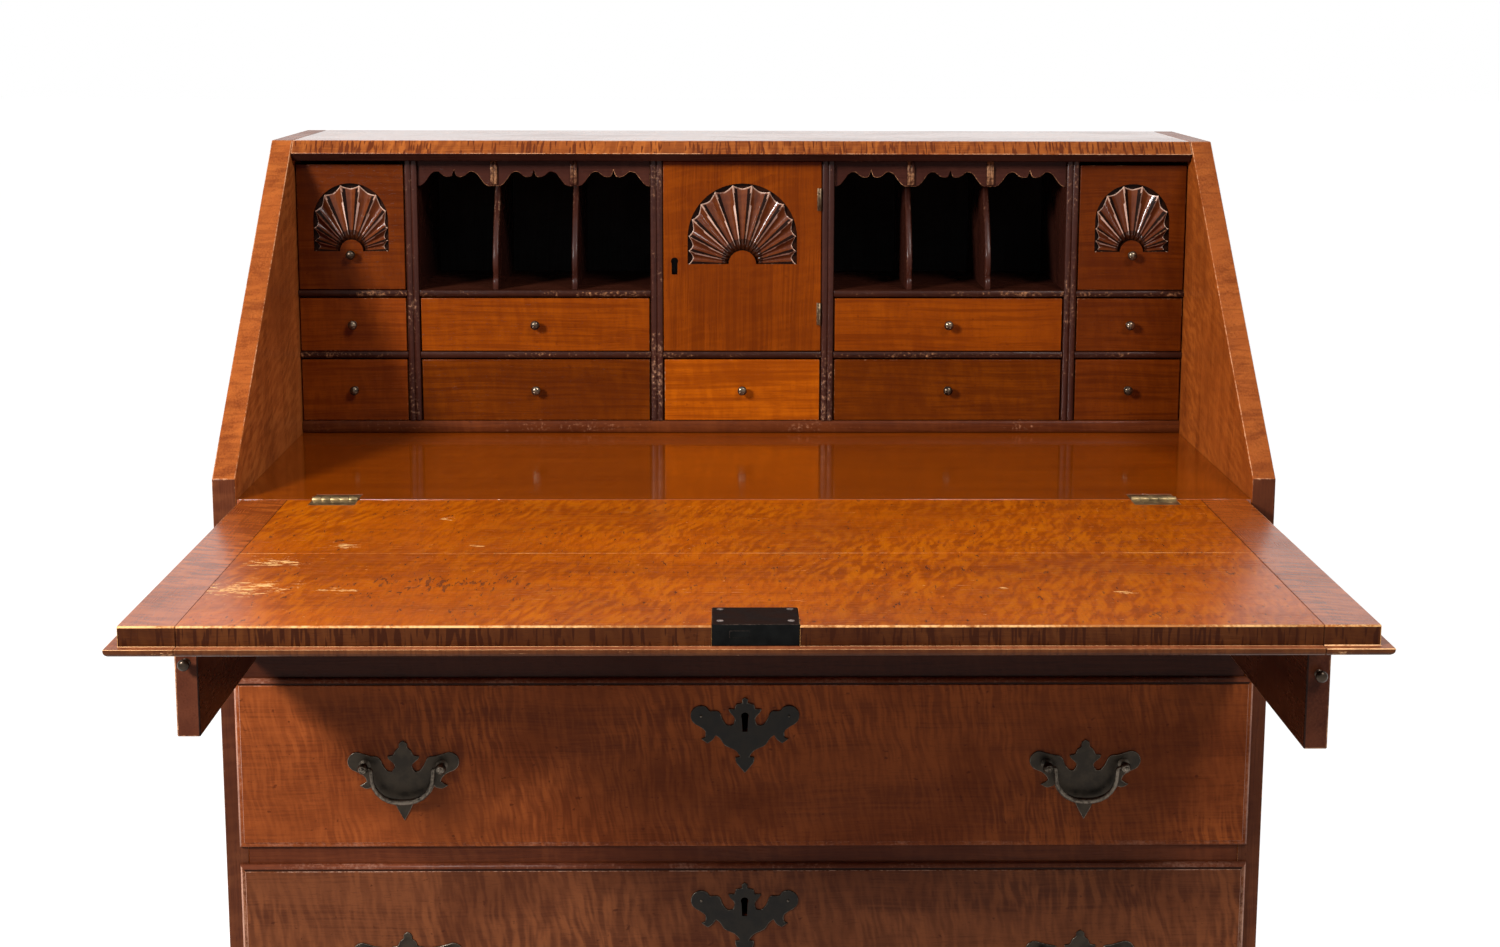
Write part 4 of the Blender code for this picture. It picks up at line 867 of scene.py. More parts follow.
ALL_FINISHES: tuple[Maple | Metal, ...] = (
    Maple("case_side", (0.24, 0.058, 0.013), UPRIGHT, 0.55, 150.0, wear=0.35),
    LIT_SIDE_INNER,
    replace(LIT_SIDE_INNER, name="side_inner_right", colour=(0.32, 0.074, 0.011)),
    Maple("side_edge", (0.285, 0.069, 0.013), UPRIGHT, 0.4, clouds=0.3, ticks=0.3, wear=0.5),
    Maple("case_strip", (0.10, 0.027, 0.010), UPRIGHT, 0.3, 150.0),
    Maple("case_across", (0.112, 0.026, 0.008), ACROSS, 0.3, 150.0, wear=0.35),
    Maple("case_top", (0.34, 0.090, 0.022), curl=0.8, gloss=(0.14, 0.26), shine=0.5, coat=0.3),
    Maple("top_bevel", (0.25, 0.062, 0.011), curl=0.7, ticks=1.0, clouds=0.25, wear=0.5),
    Maple("shaded_rail", (0.045, 0.0105, 0.004), curl=0.2, wear=0.3),
    Maple("dark_rail", (0.035, 0.011, 0.007), curl=0.2, wear=0.3),
    DRAWER,
    replace(
        DRAWER, name="lower_drawer", colour=(0.122, 0.035, 0.012), pitch=205.0, clouds=0.5,
        specks=0.7, high=(1.4, 1.45, 1.4), bare=(0.45, 0.26, 0.18), wear=0.5,
    ),
    Maple("drawer_lip", (0.13, 0.034, 0.014), curl=0.3, bare=(0.42, 0.22, 0.15), wear=0.42),
    # Pale lines along the sides of the drawers' lips and fields: painted highlight.
    Maple("lip_highlight", (0.43, 0.225, 0.155), curl=0.2, clouds=0.6, bare=(0.5, 0.3, 0.22)),
    Maple(
        "lid_panel", (0.39, 0.0750, 0.0006), curl=0.85, clouds=0.4, ticks=0.2,
        deep=(0.42, 0.34, 0.45), high=(1.25, 1.55, 1.8), gloss=(0.22, 0.36), shine=0.15,
        bare=(0.78, 0.46, 0.17), wear=0.5, scuffs=0.85, flakes_at=on_lid(LID_FLAKES),
        nicks_at=on_lid(LID_NICKS),
    ),
    Maple(
        "lid_cleat", (0.29, 0.059, 0.008), DEPTH, 0.8, gloss=(0.20, 0.34), shine=0.28,
        bare=(0.70, 0.40, 0.16), wear=0.5,
    ),
    Maple("lid_outside", (0.235, 0.053, 0.011), curl=0.9, clouds=0.5, specks=0.6),
    Maple("cleat_outside", (0.20, 0.045, 0.010), DEPTH, 0.8, clouds=0.5),
    # The lid's front edge: the upright shoulder and the nose's lower faces are darker, painted
    # shade, with ticks of figure; the nose's upward faces are a painted highlight over rubbed wear.
    Maple("lid_shoulder", (0.062, 0.0165, 0.004), ticks=0.9, bare=(0.60, 0.30, 0.10), wear=0.62),
    Maple(
        "lid_nose", (0.105, 0.031, 0.009), curl=0.4, ticks=0.4, bare=(0.70, 0.38, 0.18),
        scuffs=0.6, flakes_at=WORN_CORNERS,
    ),
    Maple("lid_ledge", (0.29, 0.085, 0.031), curl=0.4, ticks=0.3, bare=(0.62, 0.36, 0.24)),
    Maple("lid_arris", (0.36, 0.120, 0.028), bare=(0.62, 0.33, 0.13), wear=0.5),
    Maple(
        "nose_highlight", (0.34, 0.145, 0.065), curl=0.4, bare=(0.75, 0.42, 0.2), wear=0.6,
        scuffs=0.6, flakes_at=WORN_CORNERS,
    ),
    Maple(
        "writing_board", (0.240, 0.0436, 0.0005), curl=0.25, pitch=110.0, clouds=0.2, specks=0.2,
        streaks=0.5, deep=(0.62, 0.55, 0.6), high=(1.2, 1.3, 1.4), gloss=(0.10, 0.20), shine=0.5,
        coat=0.4,
    ),
    # Copies of the gallery fronts' finish that differ only in brightness: the lower row's is
    # painted shade, the centre drawer's and the left stack's painted light.
    GALLERY_FRONT,
    replace(GALLERY_FRONT, name="wide_dim", colour=(0.107, 0.0197, 0.0003)),
    replace(GALLERY_FRONT, name="centre_bright", colour=(0.303, 0.0606, 0.0011)),
    replace(GALLERY_FRONT, name="stack_front", colour=(0.101, 0.0177, 0.0009)),
    replace(GALLERY_FRONT, name="stack_lit", colour=(0.165, 0.0300, 0.0022)),
    Maple(
        "door_panel", (0.164, 0.0297, 0.0009), UPRIGHT, 0.3, clouds=0.35, streaks=0.5,
        deep=(0.5, 0.42, 0.5), wear=0.3,
    ),
    Maple(
        "carving", (0.115, 0.028, 0.008), UPRIGHT, 0.3, gloss=(0.12, 0.2), shine=0.2,
        bare=(0.55, 0.36, 0.27), wear=0.62,
    ),
    Maple(
        "ridge_glint", (0.62, 0.42, 0.34), UPRIGHT, 0.2, clouds=0.6, deep=(0.55, 0.5, 0.5),
        gloss=(0.10, 0.18), shine=0.5,
    ),
    Maple("ridge_shade", (0.012, 0.005, 0.0035), UPRIGHT, 0.2, shine=0.04),
    Maple(
        "gallery_dark", (0.030, 0.008, 0.0042), curl=0.2, shine=0.10, bare=(0.48, 0.22, 0.10),
        wear=0.36,
    ),
    Maple(
        "gallery_upright", (0.036, 0.0095, 0.0055), UPRIGHT, 0.2, shine=0.15,
        bare=(0.45, 0.23, 0.13), wear=0.36,
    ),
    Maple("plinth", (0.095, 0.021, 0.005), curl=0.2, bare=(0.42, 0.19, 0.10), wear=0.32),
    Maple("valance", (0.045, 0.013, 0.008), curl=0.2, bare=(0.5, 0.25, 0.12), wear=0.45),
    Maple("loper", (0.095, 0.026, 0.0115), DEPTH, 0.4, bare=(0.5, 0.25, 0.13), wear=0.46),
    PLAIN_WOOD,
    replace(
        PLAIN_WOOD, name="back_wood", colour=(0.33, 0.145, 0.062), grain=UPRIGHT, clouds=0.5,
        deep=(0.5, 0.45, 0.42), gloss=(0.6, 0.8),
    ),
    # Near black: painted shade behind the pigeonholes.
    Maple("hollow_shade", (0.032, 0.028, 0.028), UPRIGHT, 0.1, gloss=(0.6, 0.8), shine=0.05),
    Metal("bronze", (0.028, 0.0205, 0.0135), (0.18, 0.145, 0.11), wear=0.52),
    # A darker copy of the bronze for the keyhole plates: painted shade.
    Metal("shaded_key_bronze", (0.010, 0.0075, 0.0052), (0.12, 0.10, 0.075), 0.6, shine=0.25),
    Metal("knob_metal", (0.042, 0.028, 0.018), (0.21, 0.15, 0.10), gloss=(0.20, 0.34)),
    Metal("hinge_brass", (0.24, 0.165, 0.075), (0.70, 0.54, 0.28), gloss=(0.28, 0.45)),
    Metal("door_brass", (0.105, 0.064, 0.034), (0.34, 0.23, 0.13), gloss=(0.32, 0.5)),
    Metal("iron", (0.010, 0.0036, 0.0021), (0.09, 0.052, 0.036), 0.1, (0.55, 0.75), 0.45, 0.03),
    Metal("black_iron", (0.0035, 0.0037, 0.0035), (0.03, 0.025, 0.022), 0.1, (0.5, 0.7), 0.4, 0.05),
    Metal("worn_steel", (0.11, 0.085, 0.075), (0.50, 0.42, 0.38)),
)
FINISHES = {finish.name: finish for finish in ALL_FINISHES}


@dataclass
class Bench:
    """Where pieces are finished: it holds the materials and the desk's place."""

    origin: Vector
    effects: Effects = field(default_factory=Effects)
    made: dict[str, bpy.types.Material] = field(default_factory=dict)
    count: int = 0

    def finish(self, name: str) -> bpy.types.Material:
        """The material of that name, mixed when it is first asked for."""
        if name not in self.made:
            self.made[name] = FINISHES[name].make(self.effects)
        return self.made[name]

    def copy_of(self, node: str) -> BMesh:
        """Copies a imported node, its triangles merged into faces, and lays it out.

        Args:
            node: The node's name.

        Returns:
            The copy, laid out from the hinge line.
        """
        shape = bmesh.new()
        shape.from_mesh(frame["nodes"][node].data)
        for layer in list(shape.loops.layers.uv):
            shape.loops.layers.uv.remove(layer)
        bmesh.ops.remove_doubles(shape, verts=shape.verts, dist=2 * TINY)
        bmesh.ops.dissolve_limit(shape, angle_limit=FLAT, verts=shape.verts, edges=shape.edges)
        for face in shape.faces:
            face.smooth = False
        return placed(shape, -self.origin)

    def put(
        self,
        shape: BMesh,
        name: str,
        body: str,
        finish: str,
        slot: str = "",
        node: str = "",
        round_all: float = 0.0,
        accents: Accents = (),
    ) -> None:
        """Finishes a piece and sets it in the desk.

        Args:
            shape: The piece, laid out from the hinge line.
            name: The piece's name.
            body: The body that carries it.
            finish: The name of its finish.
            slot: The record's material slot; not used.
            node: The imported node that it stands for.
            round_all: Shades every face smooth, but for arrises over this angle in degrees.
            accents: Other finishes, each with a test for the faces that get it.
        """
        for number, (_accent, test) in enumerate(accents, start=1):
            for face in shape.faces:
                if test(face):
                    face.material_index = number
        wear_layer(placed(shape, self.origin))
        mesh = bpy.data.meshes.new(name)
        shape.to_mesh(mesh)
        shape.free()
        if round_all:
            mesh.shade_smooth()
            mesh.set_sharp_from_angle(angle=math.radians(round_all))
        for label in (finish, *(accent for accent, _test in accents)):
            mesh.materials.append(self.finish(label))
        piece = bpy.data.objects.new(name, mesh)
        bpy.context.scene.collection.objects.link(piece)
        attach(piece, body)
        if node:
            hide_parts(node)
        self.count += 1
        LOG.info("%s on %s: %d faces, %s", name, body, len(mesh.polygons), finish)

    def dress(
        self,
        node: str,
        finish: str,
        slot: str,
        width: float,
        mark: Mark | float = 0.0,
        round_all: float = 0.0,
        accents: Accents = (),
    ) -> None:
        """Puts a copy of a node of the case in its place, with eased arrises and a finish.

        Args:
            node: The node.
            finish: The name of its finish.
            slot: The record's material slot.
            width: The width of its eased arrises.
            mark: Gives more wear by place.
            round_all: As for put.
            accents: As for put.
        """
        shape = mark_wear_and_shade(ease(self.copy_of(node), width), mark)
        self.put(shape, f"{node}_dressed", "case", finish, slot, node, round_all, accents)


# The desk's parts


@dataclass
class Case:
    """The case: sides, top, boards, blades, base moulding and feet."""

    bench: Bench
    arris: float = 0.0009
    thin_arris: float = 0.0006
    top_rise: float = 0.290
    bevel_height: float = 0.012
    bevel_lip: float = 0.0004
    rail_depth: float = 0.060
    board_arris: float = 0.0004
    moulding_arris: float = 0.0005
    foot_arris: float = 0.0012

    def build(self) -> None:
        """Makes every fixed board of the case."""
        dress = self.bench.dress
        slant = ("side_edge", within(ny=(-FAR, -LEANING), nz=(LEANING, FAR)))
        strip = ("case_strip", within(ny=(-FAR, -SQUARE_ON)))
        for side, sign in SIDES:
            inward = sorted((-SQUARE_ON * sign, -FAR * sign))
            # The inner faces take the brighter copies: painted light.
            accents = (slant, strip, (f"side_inner_{side}", within(nx=inward)))
            dress(f"side_{side}", "case_side", "case_maple", self.arris, accents=accents)
        rebate = self.top_rise - self.bevel_height - self.bevel_lip
        accents = (
            ("top_bevel", within(ny=(-FAR, -LEANING), z=(rebate, FAR))),
            ("dark_rail", within(z=(-FAR, rebate + self.bevel_lip), ny=(-FAR, 0.5))),
            ("case_side", within(ny=(0.5, FAR))),
        )
        dress("top_board", "case_top", "case_maple", self.arris, accents=accents)
        dress("writing_board", "writing_board", "desk_maple", self.board_arris)
        dress("back_boards", "back_wood", "secondary_wood", self.thin_arris)
        dress("bottom_board", "inside_wood", "secondary_wood", self.thin_arris)
        accents = (("inside_wood", within(y=(self.rail_depth, FAR))),)
        for place in ("upper", "middle", "lower"):
            finish = "shaded_rail" if place == "upper" else "case_across"
            node = f"drawer_blade_{place}"
            dress(node, finish, "case_maple", self.thin_arris, accents=accents)
        dress("base_moulding", "case_across", "case_maple", self.moulding_arris, round_all=32)
        for place in ("front_left", "front_right", "back_left", "back_right"):
            dress(f"foot_{place}", "case_across", "case_maple", self.foot_arris)


@dataclass
class Lid:
    """The fall front with its cleats, lock and hinge leaves."""

    bench: Bench
    length: float = 0.4030
    shoulder: float = 0.0145
    front_arris: float = 0.0013
    panel_arris: float = 0.0005
    cleat_arris: float = 0.0006
    arris_reach: float = 0.0016
    nose_tilt: float = 0.12
    nose_height: float = 0.0005
    nose_reach: float = 0.002
    shoulder_top: float = -0.0009
    flat: float = 0.97
    joint_grime: float = -0.45
    joint_reach: float = 0.0009
    seam_at: float = -0.194
    seam_half: float = 0.3925
    seam_width: float = 0.0004
    seam_depth: float = 0.0004
    lock_centre: float = 0.003
    lock_width: float = 0.060
    lock_depth: float = 0.047
    lock_height: float = 0.0142
    lock_proud: float = 0.0004
    lock_arrises: Place = (0.0006, 0.0005, 0.0004)
    selvedge: Point = (0.0022, 0.0010)
    bolt_span: Point = (0.012, 0.026)
    bolt_levels: Point = (-0.0085, -0.0035)
    screw_inset: float = 0.0055
    screw_radius: float = 0.0024
    screw_foot: float = 0.001
    screw_head: Point = (0.0003, 0.0005)
    screw_slot: Point = (0.0001, 0.0004)
    screw_turn: float = math.radians(57)
    hinge_centre: float = 0.352
    hinge_width: float = 0.039
    hinge_gap: float = 0.0002
    hinge_screw: float = 0.0021
    leaf_depth: float = 0.021
    leaf_thickness: float = 0.0017
    leaf_top: float = -0.0001
    leaf_gap: float = 0.0009
    screws_at: Place = (0.2, 0.5, 0.8)
    screw_row: float = 0.6
    screw_level: float = -0.0003
    barrel_radius: float = 0.0026
    knuckles: int = 5
    pin_radius: float = 0.0011
    pin_length: float = 0.004

    def build(self) -> None:
        """Makes the lid, its lock and both hinges."""
        bench = self.bench
        front, step = -self.length, -self.shoulder
        nose = {"z": (-FAR, step + self.nose_height), "y": (-FAR, front + self.nose_reach)}
        upper = {"z": (-self.arris_reach, FAR), "y": (-FAR, front + self.arris_reach)}
        # The shoulder and the nose's lower faces take painted shade, the nose's upward faces a
        # painted highlight.
        common = (
            ("lid_shoulder", within(z=(step, self.shoulder_top), y=(-FAR, front + LAP))),
            ("lid_nose", within(**nose)),
            ("lid_ledge", within(nz=(self.flat, FAR), z=(-FAR, step + self.nose_reach))),
            ("nose_highlight", within(**nose, nz=(self.nose_tilt, self.flat))),
            ("lid_arris", within(**upper, nz=(TILTED, self.flat), ny=(-FAR, -TILTED))),
        )
        outside = within(nz=(-FAR, -SQUARE_ON))
        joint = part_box("lid_cleat_right")[0].x

        def top_arris(edge: BMEdge) -> bool:
            """Whether it is the upper arris of the front."""
            return all(abs(v.co.z) < NEAR and v.co.y < front + LAP for v in edge.verts)

        def closed_joint(spot: Vector) -> float:
            """Grime along the joints with the cleats."""
            return self.joint_grime if abs(abs(spot.x) - joint) < self.joint_reach else 0.0

        seam = self.seam_width / 2
        seam = block(
            (-self.seam_half, self.seam_at - seam, -self.seam_depth),
            (self.seam_half, self.seam_at + seam, LAP),
        )
        for node, finish, back, width in (
            ("lid_panel", "lid_panel", "lid_outside", self.panel_arris),
            ("lid_cleat_left", "lid_cleat", "cleat_outside", self.cleat_arris),
            ("lid_cleat_right", "lid_cleat", "cleat_outside", self.cleat_arris),
        ):
            shape = bench.copy_of(node)
            if node == "lid_panel":
                shape = cut(shape, seam)
            shape = ease(ease(shape, self.front_arris, 3, top_arris), width)
            mark_wear_and_shade(shape, closed_joint)
            accents = ((back, outside), *common)
            bench.put(shape, f"{node}_dressed", "lid", finish, "lid_maple", node, 0, accents)
        self._lock()
        for side, sign in SIDES:
            self._hinge(side, sign * self.hinge_centre)

    def _lock(self) -> None:
        """The iron lock with its selvedge, four screws and bolt plate."""
        left = self.lock_centre - self.lock_width / 2
        right = self.lock_centre + self.lock_width / 2
        front, low, proud = -self.length, -self.lock_height, self.lock_proud
        back = front + self.lock_depth
        (bolt_left, bolt_right), (bolt_low, bolt_high) = self.bolt_span, self.bolt_levels
        (case_arris, edge_arris, bolt_arris), (deep, rise) = self.lock_arrises, self.selvedge
        case = add(
            block((left, front, low), (right, back, proud), case_arris),
            block((left, front - proud / 2, low), (right, front + deep, rise), edge_arris),
            block(
                (left + bolt_left, front - proud, bolt_low),
                (left + bolt_right, front, bolt_high),
                bolt_arris,
            ),
        )
        accents = (("black_iron", within(ny=(-FAR, -0.5))),)
        self.bench.put(case, "lock_case", "lid", "iron", "lock_iron", "lid_lock", 0, accents)
        inset = self.screw_inset
        rows = (back - inset, front + 2 * inset)
        spots = [(x, y) for y in rows for x in (left + inset, right - inset)]
        for number, spot in enumerate(spots, start=1):
            screw = self._screw(spot, proud, self.screw_radius)
            self.bench.put(screw, f"lock_screw_{number}", "lid", "worn_steel", round_all=40)

    def _screw(self, at: Point, level: float, radius: float) -> BMesh:
        """A flat screw head with its slot, facing up.

        Args:
            at: Its X and Y.
            level: The height of its seat.
            radius: The head's radius.

        Returns:
            The head.
        """
        foot, (rim, crown), (floor, half) = self.screw_foot, self.screw_head, self.screw_slot
        profile = [(0, -foot), (radius * 0.98, -foot), (radius, rim), (0, crown)]
        slot = block((-radius * 1.2, -foot, -half), (radius * 1.2, -floor, half))
        head = cut(turned(profile, 20), slot)
        up, round_about = math.radians(-90), self.screw_turn + 40 * at[0]
        return mark_wear_and_shade(placed(head, (*at, level), (up, "X"), (round_about, "Z")), 1.0)

    def _barrel(self, low: float, high: float, radius: float) -> BMesh:
        """A length of round bar on the hinge line."""
        return bar(high - low, radius, (low, 0, 0), (math.radians(90), "Z"))

    def _hinge(self, side: str, centre: float) -> None:
        """One butt hinge: two leaves with alternate knuckles, the pin and the screws.

        Args:
            side: Which hinge it is.
            centre: Its middle along X.
        """
        width, gap = self.hinge_width, self.hinge_gap
        step = width / self.knuckles
        left = centre - width / 2
        right = left + width
        for body, toward, first in (("case", 1, 0), ("lid", -1, 1)):
            low, high = sorted((toward * self.leaf_gap, toward * self.leaf_depth))
            leaf = block((left, low, -self.leaf_thickness), (right, high, self.leaf_top), gap)
            for k in range(first, self.knuckles, 2):
                start = left + k * step + gap
                knuckle = self._barrel(start, start + step - 2 * gap, self.barrel_radius)
                add(leaf, ease(knuckle, gap))
            for share in self.screws_at:
                spot = (left + share * width, toward * self.leaf_depth * self.screw_row)
                add(leaf, self._screw(spot, self.screw_level, self.hinge_screw))
            name, node = f"hinge_leaf_{side}_{body}", f"lid_hinge_{side}" if first == 0 else ""
            self.bench.put(leaf, name, body, "hinge_brass", "old_brass", node, 40)
        pin = self._barrel(left - gap, left + self.pin_length, self.pin_radius)
        add(pin, self._barrel(right - self.pin_length, right + gap, self.pin_radius))
        self.bench.put(pin, f"hinge_pin_{side}", "case", "worn_steel", "old_brass", "", 40)


KNOB_PROFILE = (
    (0.0, -0.0010), (0.0034, -0.0010), (0.0034, 0.0006), (0.0027, 0.0011), (0.0018, 0.0020),
    (0.0017, 0.0042), (0.0024, 0.0054), (0.0039, 0.0062), (0.0046, 0.0074), (0.0046, 0.0086),
    (0.0039, 0.0099), (0.0024, 0.0107), (0.0010, 0.0110), (0.0, 0.0110),
)
POST_PROFILE = (
    (0.0, -0.0008), (0.0052, -0.0008), (0.0052, 0.0004), (0.0042, 0.0010), (0.0027, 0.0018),
    (0.0026, 0.0052), (0.0033, 0.0062), (0.0043, 0.0076), (0.0048, 0.0098), (0.0044, 0.0121),
    (0.0036, 0.0136), (0.0030, 0.0141), (0.0022, 0.0138), (0.0014, 0.0144), (0.0, 0.0148),
)
PIN_PROFILE = ((0.0, -0.001), (0.0013, -0.001), (0.0012, 0.0004), (0.0007, 0.0008), (0, 0.0009))
BAIL_LINE = (
    (0.0312, 0.0, 0.0015), (0.0288, 0.0, 0.0015), (0.0281, -0.0002, 0.0017),
    (0.0272, -0.0012, 0.0020), (0.0268, -0.0030, 0.0019), (0.0266, -0.0070, 0.0018),
    (0.0261, -0.0120, 0.0019), (0.0245, -0.0172, 0.0020), (0.0214, -0.0220, 0.0021),
    (0.0170, -0.0260, 0.0023), (0.0116, -0.0287, 0.0025), (0.0060, -0.0299, 0.0027),
)
PULL_OUTLINE = (
    (0.068, 0.034), (0.076, 0.083), (0.144, 0.124), (0.183, 0.179), (0.284, 0.193), (0.267, 0.226),
    (0.175, 0.283), (0.152, 0.324), (0.206, 0.386), (0.284, 0.375), (0.360, 0.313), (0.407, 0.241),
    (0.469, 0.200), (0.576, 0.190), (0.735, 0.159), (0.823, 0.143), (0.911, 0.159), (0.976, 0.203),
    (1.000, 0.262), (0.976, 0.321), (0.911, 0.365), (0.776, 0.407), (0.691, 0.458), (0.660, 0.505),
    (0.722, 0.537), (0.792, 0.561), (0.685, 0.597), (0.576, 0.582), (0.545, 0.561), (0.484, 0.644),
    (0.329, 0.748), (0.160, 0.783), (0.152, 0.800), (0.113, 0.861),
)
ESCUTCHEON_OUTLINE = (
    (0.055, 0.026), (0.046, 0.072), (0.162, 0.089), (0.188, 0.152), (0.304, 0.152), (0.278, 0.196),
    (0.188, 0.276), (0.213, 0.357), (0.316, 0.365), (0.407, 0.294), (0.458, 0.205), (0.523, 0.175),
    (0.639, 0.178), (0.709, 0.125), (0.806, 0.106), (0.903, 0.124), (0.974, 0.174), (1.000, 0.241),
    (0.974, 0.308), (0.903, 0.357), (0.831, 0.385), (0.730, 0.446), (0.730, 0.526), (0.806, 0.548),
    (0.690, 0.607), (0.599, 0.563), (0.536, 0.500), (0.458, 0.544), (0.369, 0.633), (0.188, 0.696),
    (0.112, 0.750), (0.084, 0.785), (0.175, 0.794), (0.162, 0.857), (0.097, 0.920),
)


@dataclass
class Lopers:
    """The two pull-out supports of the lid."""

    bench: Bench
    outer: float = 0.4365
    thickness: float = 0.018
    length: float = 0.400
    reaches: Point = (0.235, 0.269)
    low: float = -0.1337
    high: float = -0.0203
    knob_level: float = -0.0747
    front: float = -0.001
    arris: float = 0.0012
    seam_shade: float = -0.8
    seam_reach: Point = (0.0011, 0.003)

    def build(self) -> None:
        """Makes both lopers with their knobs and a strip of painted shade on each end."""
        for (side, sign), reach in zip(SIDES, self.reaches):
            end = self.front - reach
            inner = sign * (self.outer - self.thickness)
            low, high = sorted((inner, sign * self.outer))
            top = (high, end + self.length, self.high)
            body = block((low, end, self.low), top, self.arris, 3)

            def seam(spot: Vector, edge: float = inner, tip: float = end) -> float:
                """Painted shade along the inner arris of the end."""
                across, along = self.seam_reach
                inside = abs(spot.x - edge) < across and spot.y < tip + along
                return self.seam_shade if inside else 0.0

            name = f"loper_{side}"
            mark_wear_and_shade(body, seam)
            self.bench.put(body, f"{name}_bar", name, "loper", "case_maple", name)
            knob = turned(KNOB_PROFILE, 24, ((low + high) / 2, end, self.knob_level))
            self.bench.put(knob, f"{name}_knob", name, "knob_metal", round_all=50)


@dataclass(frozen=True)
class Keyhole:
    """A keyhole: a round eye over a straight slot."""

    radius: float
    slot: float
    length: float

    def cutter(self, centre: float, top: float, front: float, back: float) -> BMesh:
        """The shape to cut a keyhole with.

        Args:
            centre: Its middle along X.
            top: The top of the eye.
            front: Where the cut starts.
            back: How deep it goes.

        Returns:
            The cutter.
        """
        outline = []
        for i in range(17):
            turn = -math.pi / 5 + (7 * math.pi / 5) * i / 16
            level = top - self.radius + self.radius * math.sin(turn)
            outline.append((centre + self.radius * math.cos(turn), level))
        foot = top - self.length
        outline += [(centre - self.slot / 2, foot), (centre + self.slot / 2, foot)]
        return board(outline, "Y", front, back)


@dataclass(frozen=True)
class Box:
    """The sizes of the box behind a drawer's front: its walls, bottom and laps."""

    wall: float
    bottom: float
    tongue: float
    arris: Point
    back_levels: Point
    bottom_lap: float
    bottom_rise: float
    back_inset: float = 0.0002

    def make(self, span: Point, depth: Point, levels: Point) -> BMesh:
        """Makes the sides, the back and the bottom.

        Args:
            span: Its left and its right.
            depth: The back of the drawer's front, and the back of the box.
            levels: Its foot and its rim.

        Returns:
            The box.
        """
        (left, right), (front, back), (low, rim) = span, depth, levels
        first, rest = self.arris
        reach, wall, lap = front - self.tongue, self.wall, self.bottom_lap
        return add(
            block((left, reach, low), (left + wall, back, rim), first),
            block((right - wall, reach, low), (right, back, rim), rest),
            block(
                (left + wall - LAP, back - wall, low + self.back_levels[0]),
                (right - wall + LAP, back - self.back_inset, rim - self.back_levels[1]),
                rest,
            ),
            block(
                (left + wall - lap, front - self.tongue / 2, low + self.bottom_rise),
                (right - wall + lap, back - LAP, low + self.bottom),
                rest,
            ),
        )


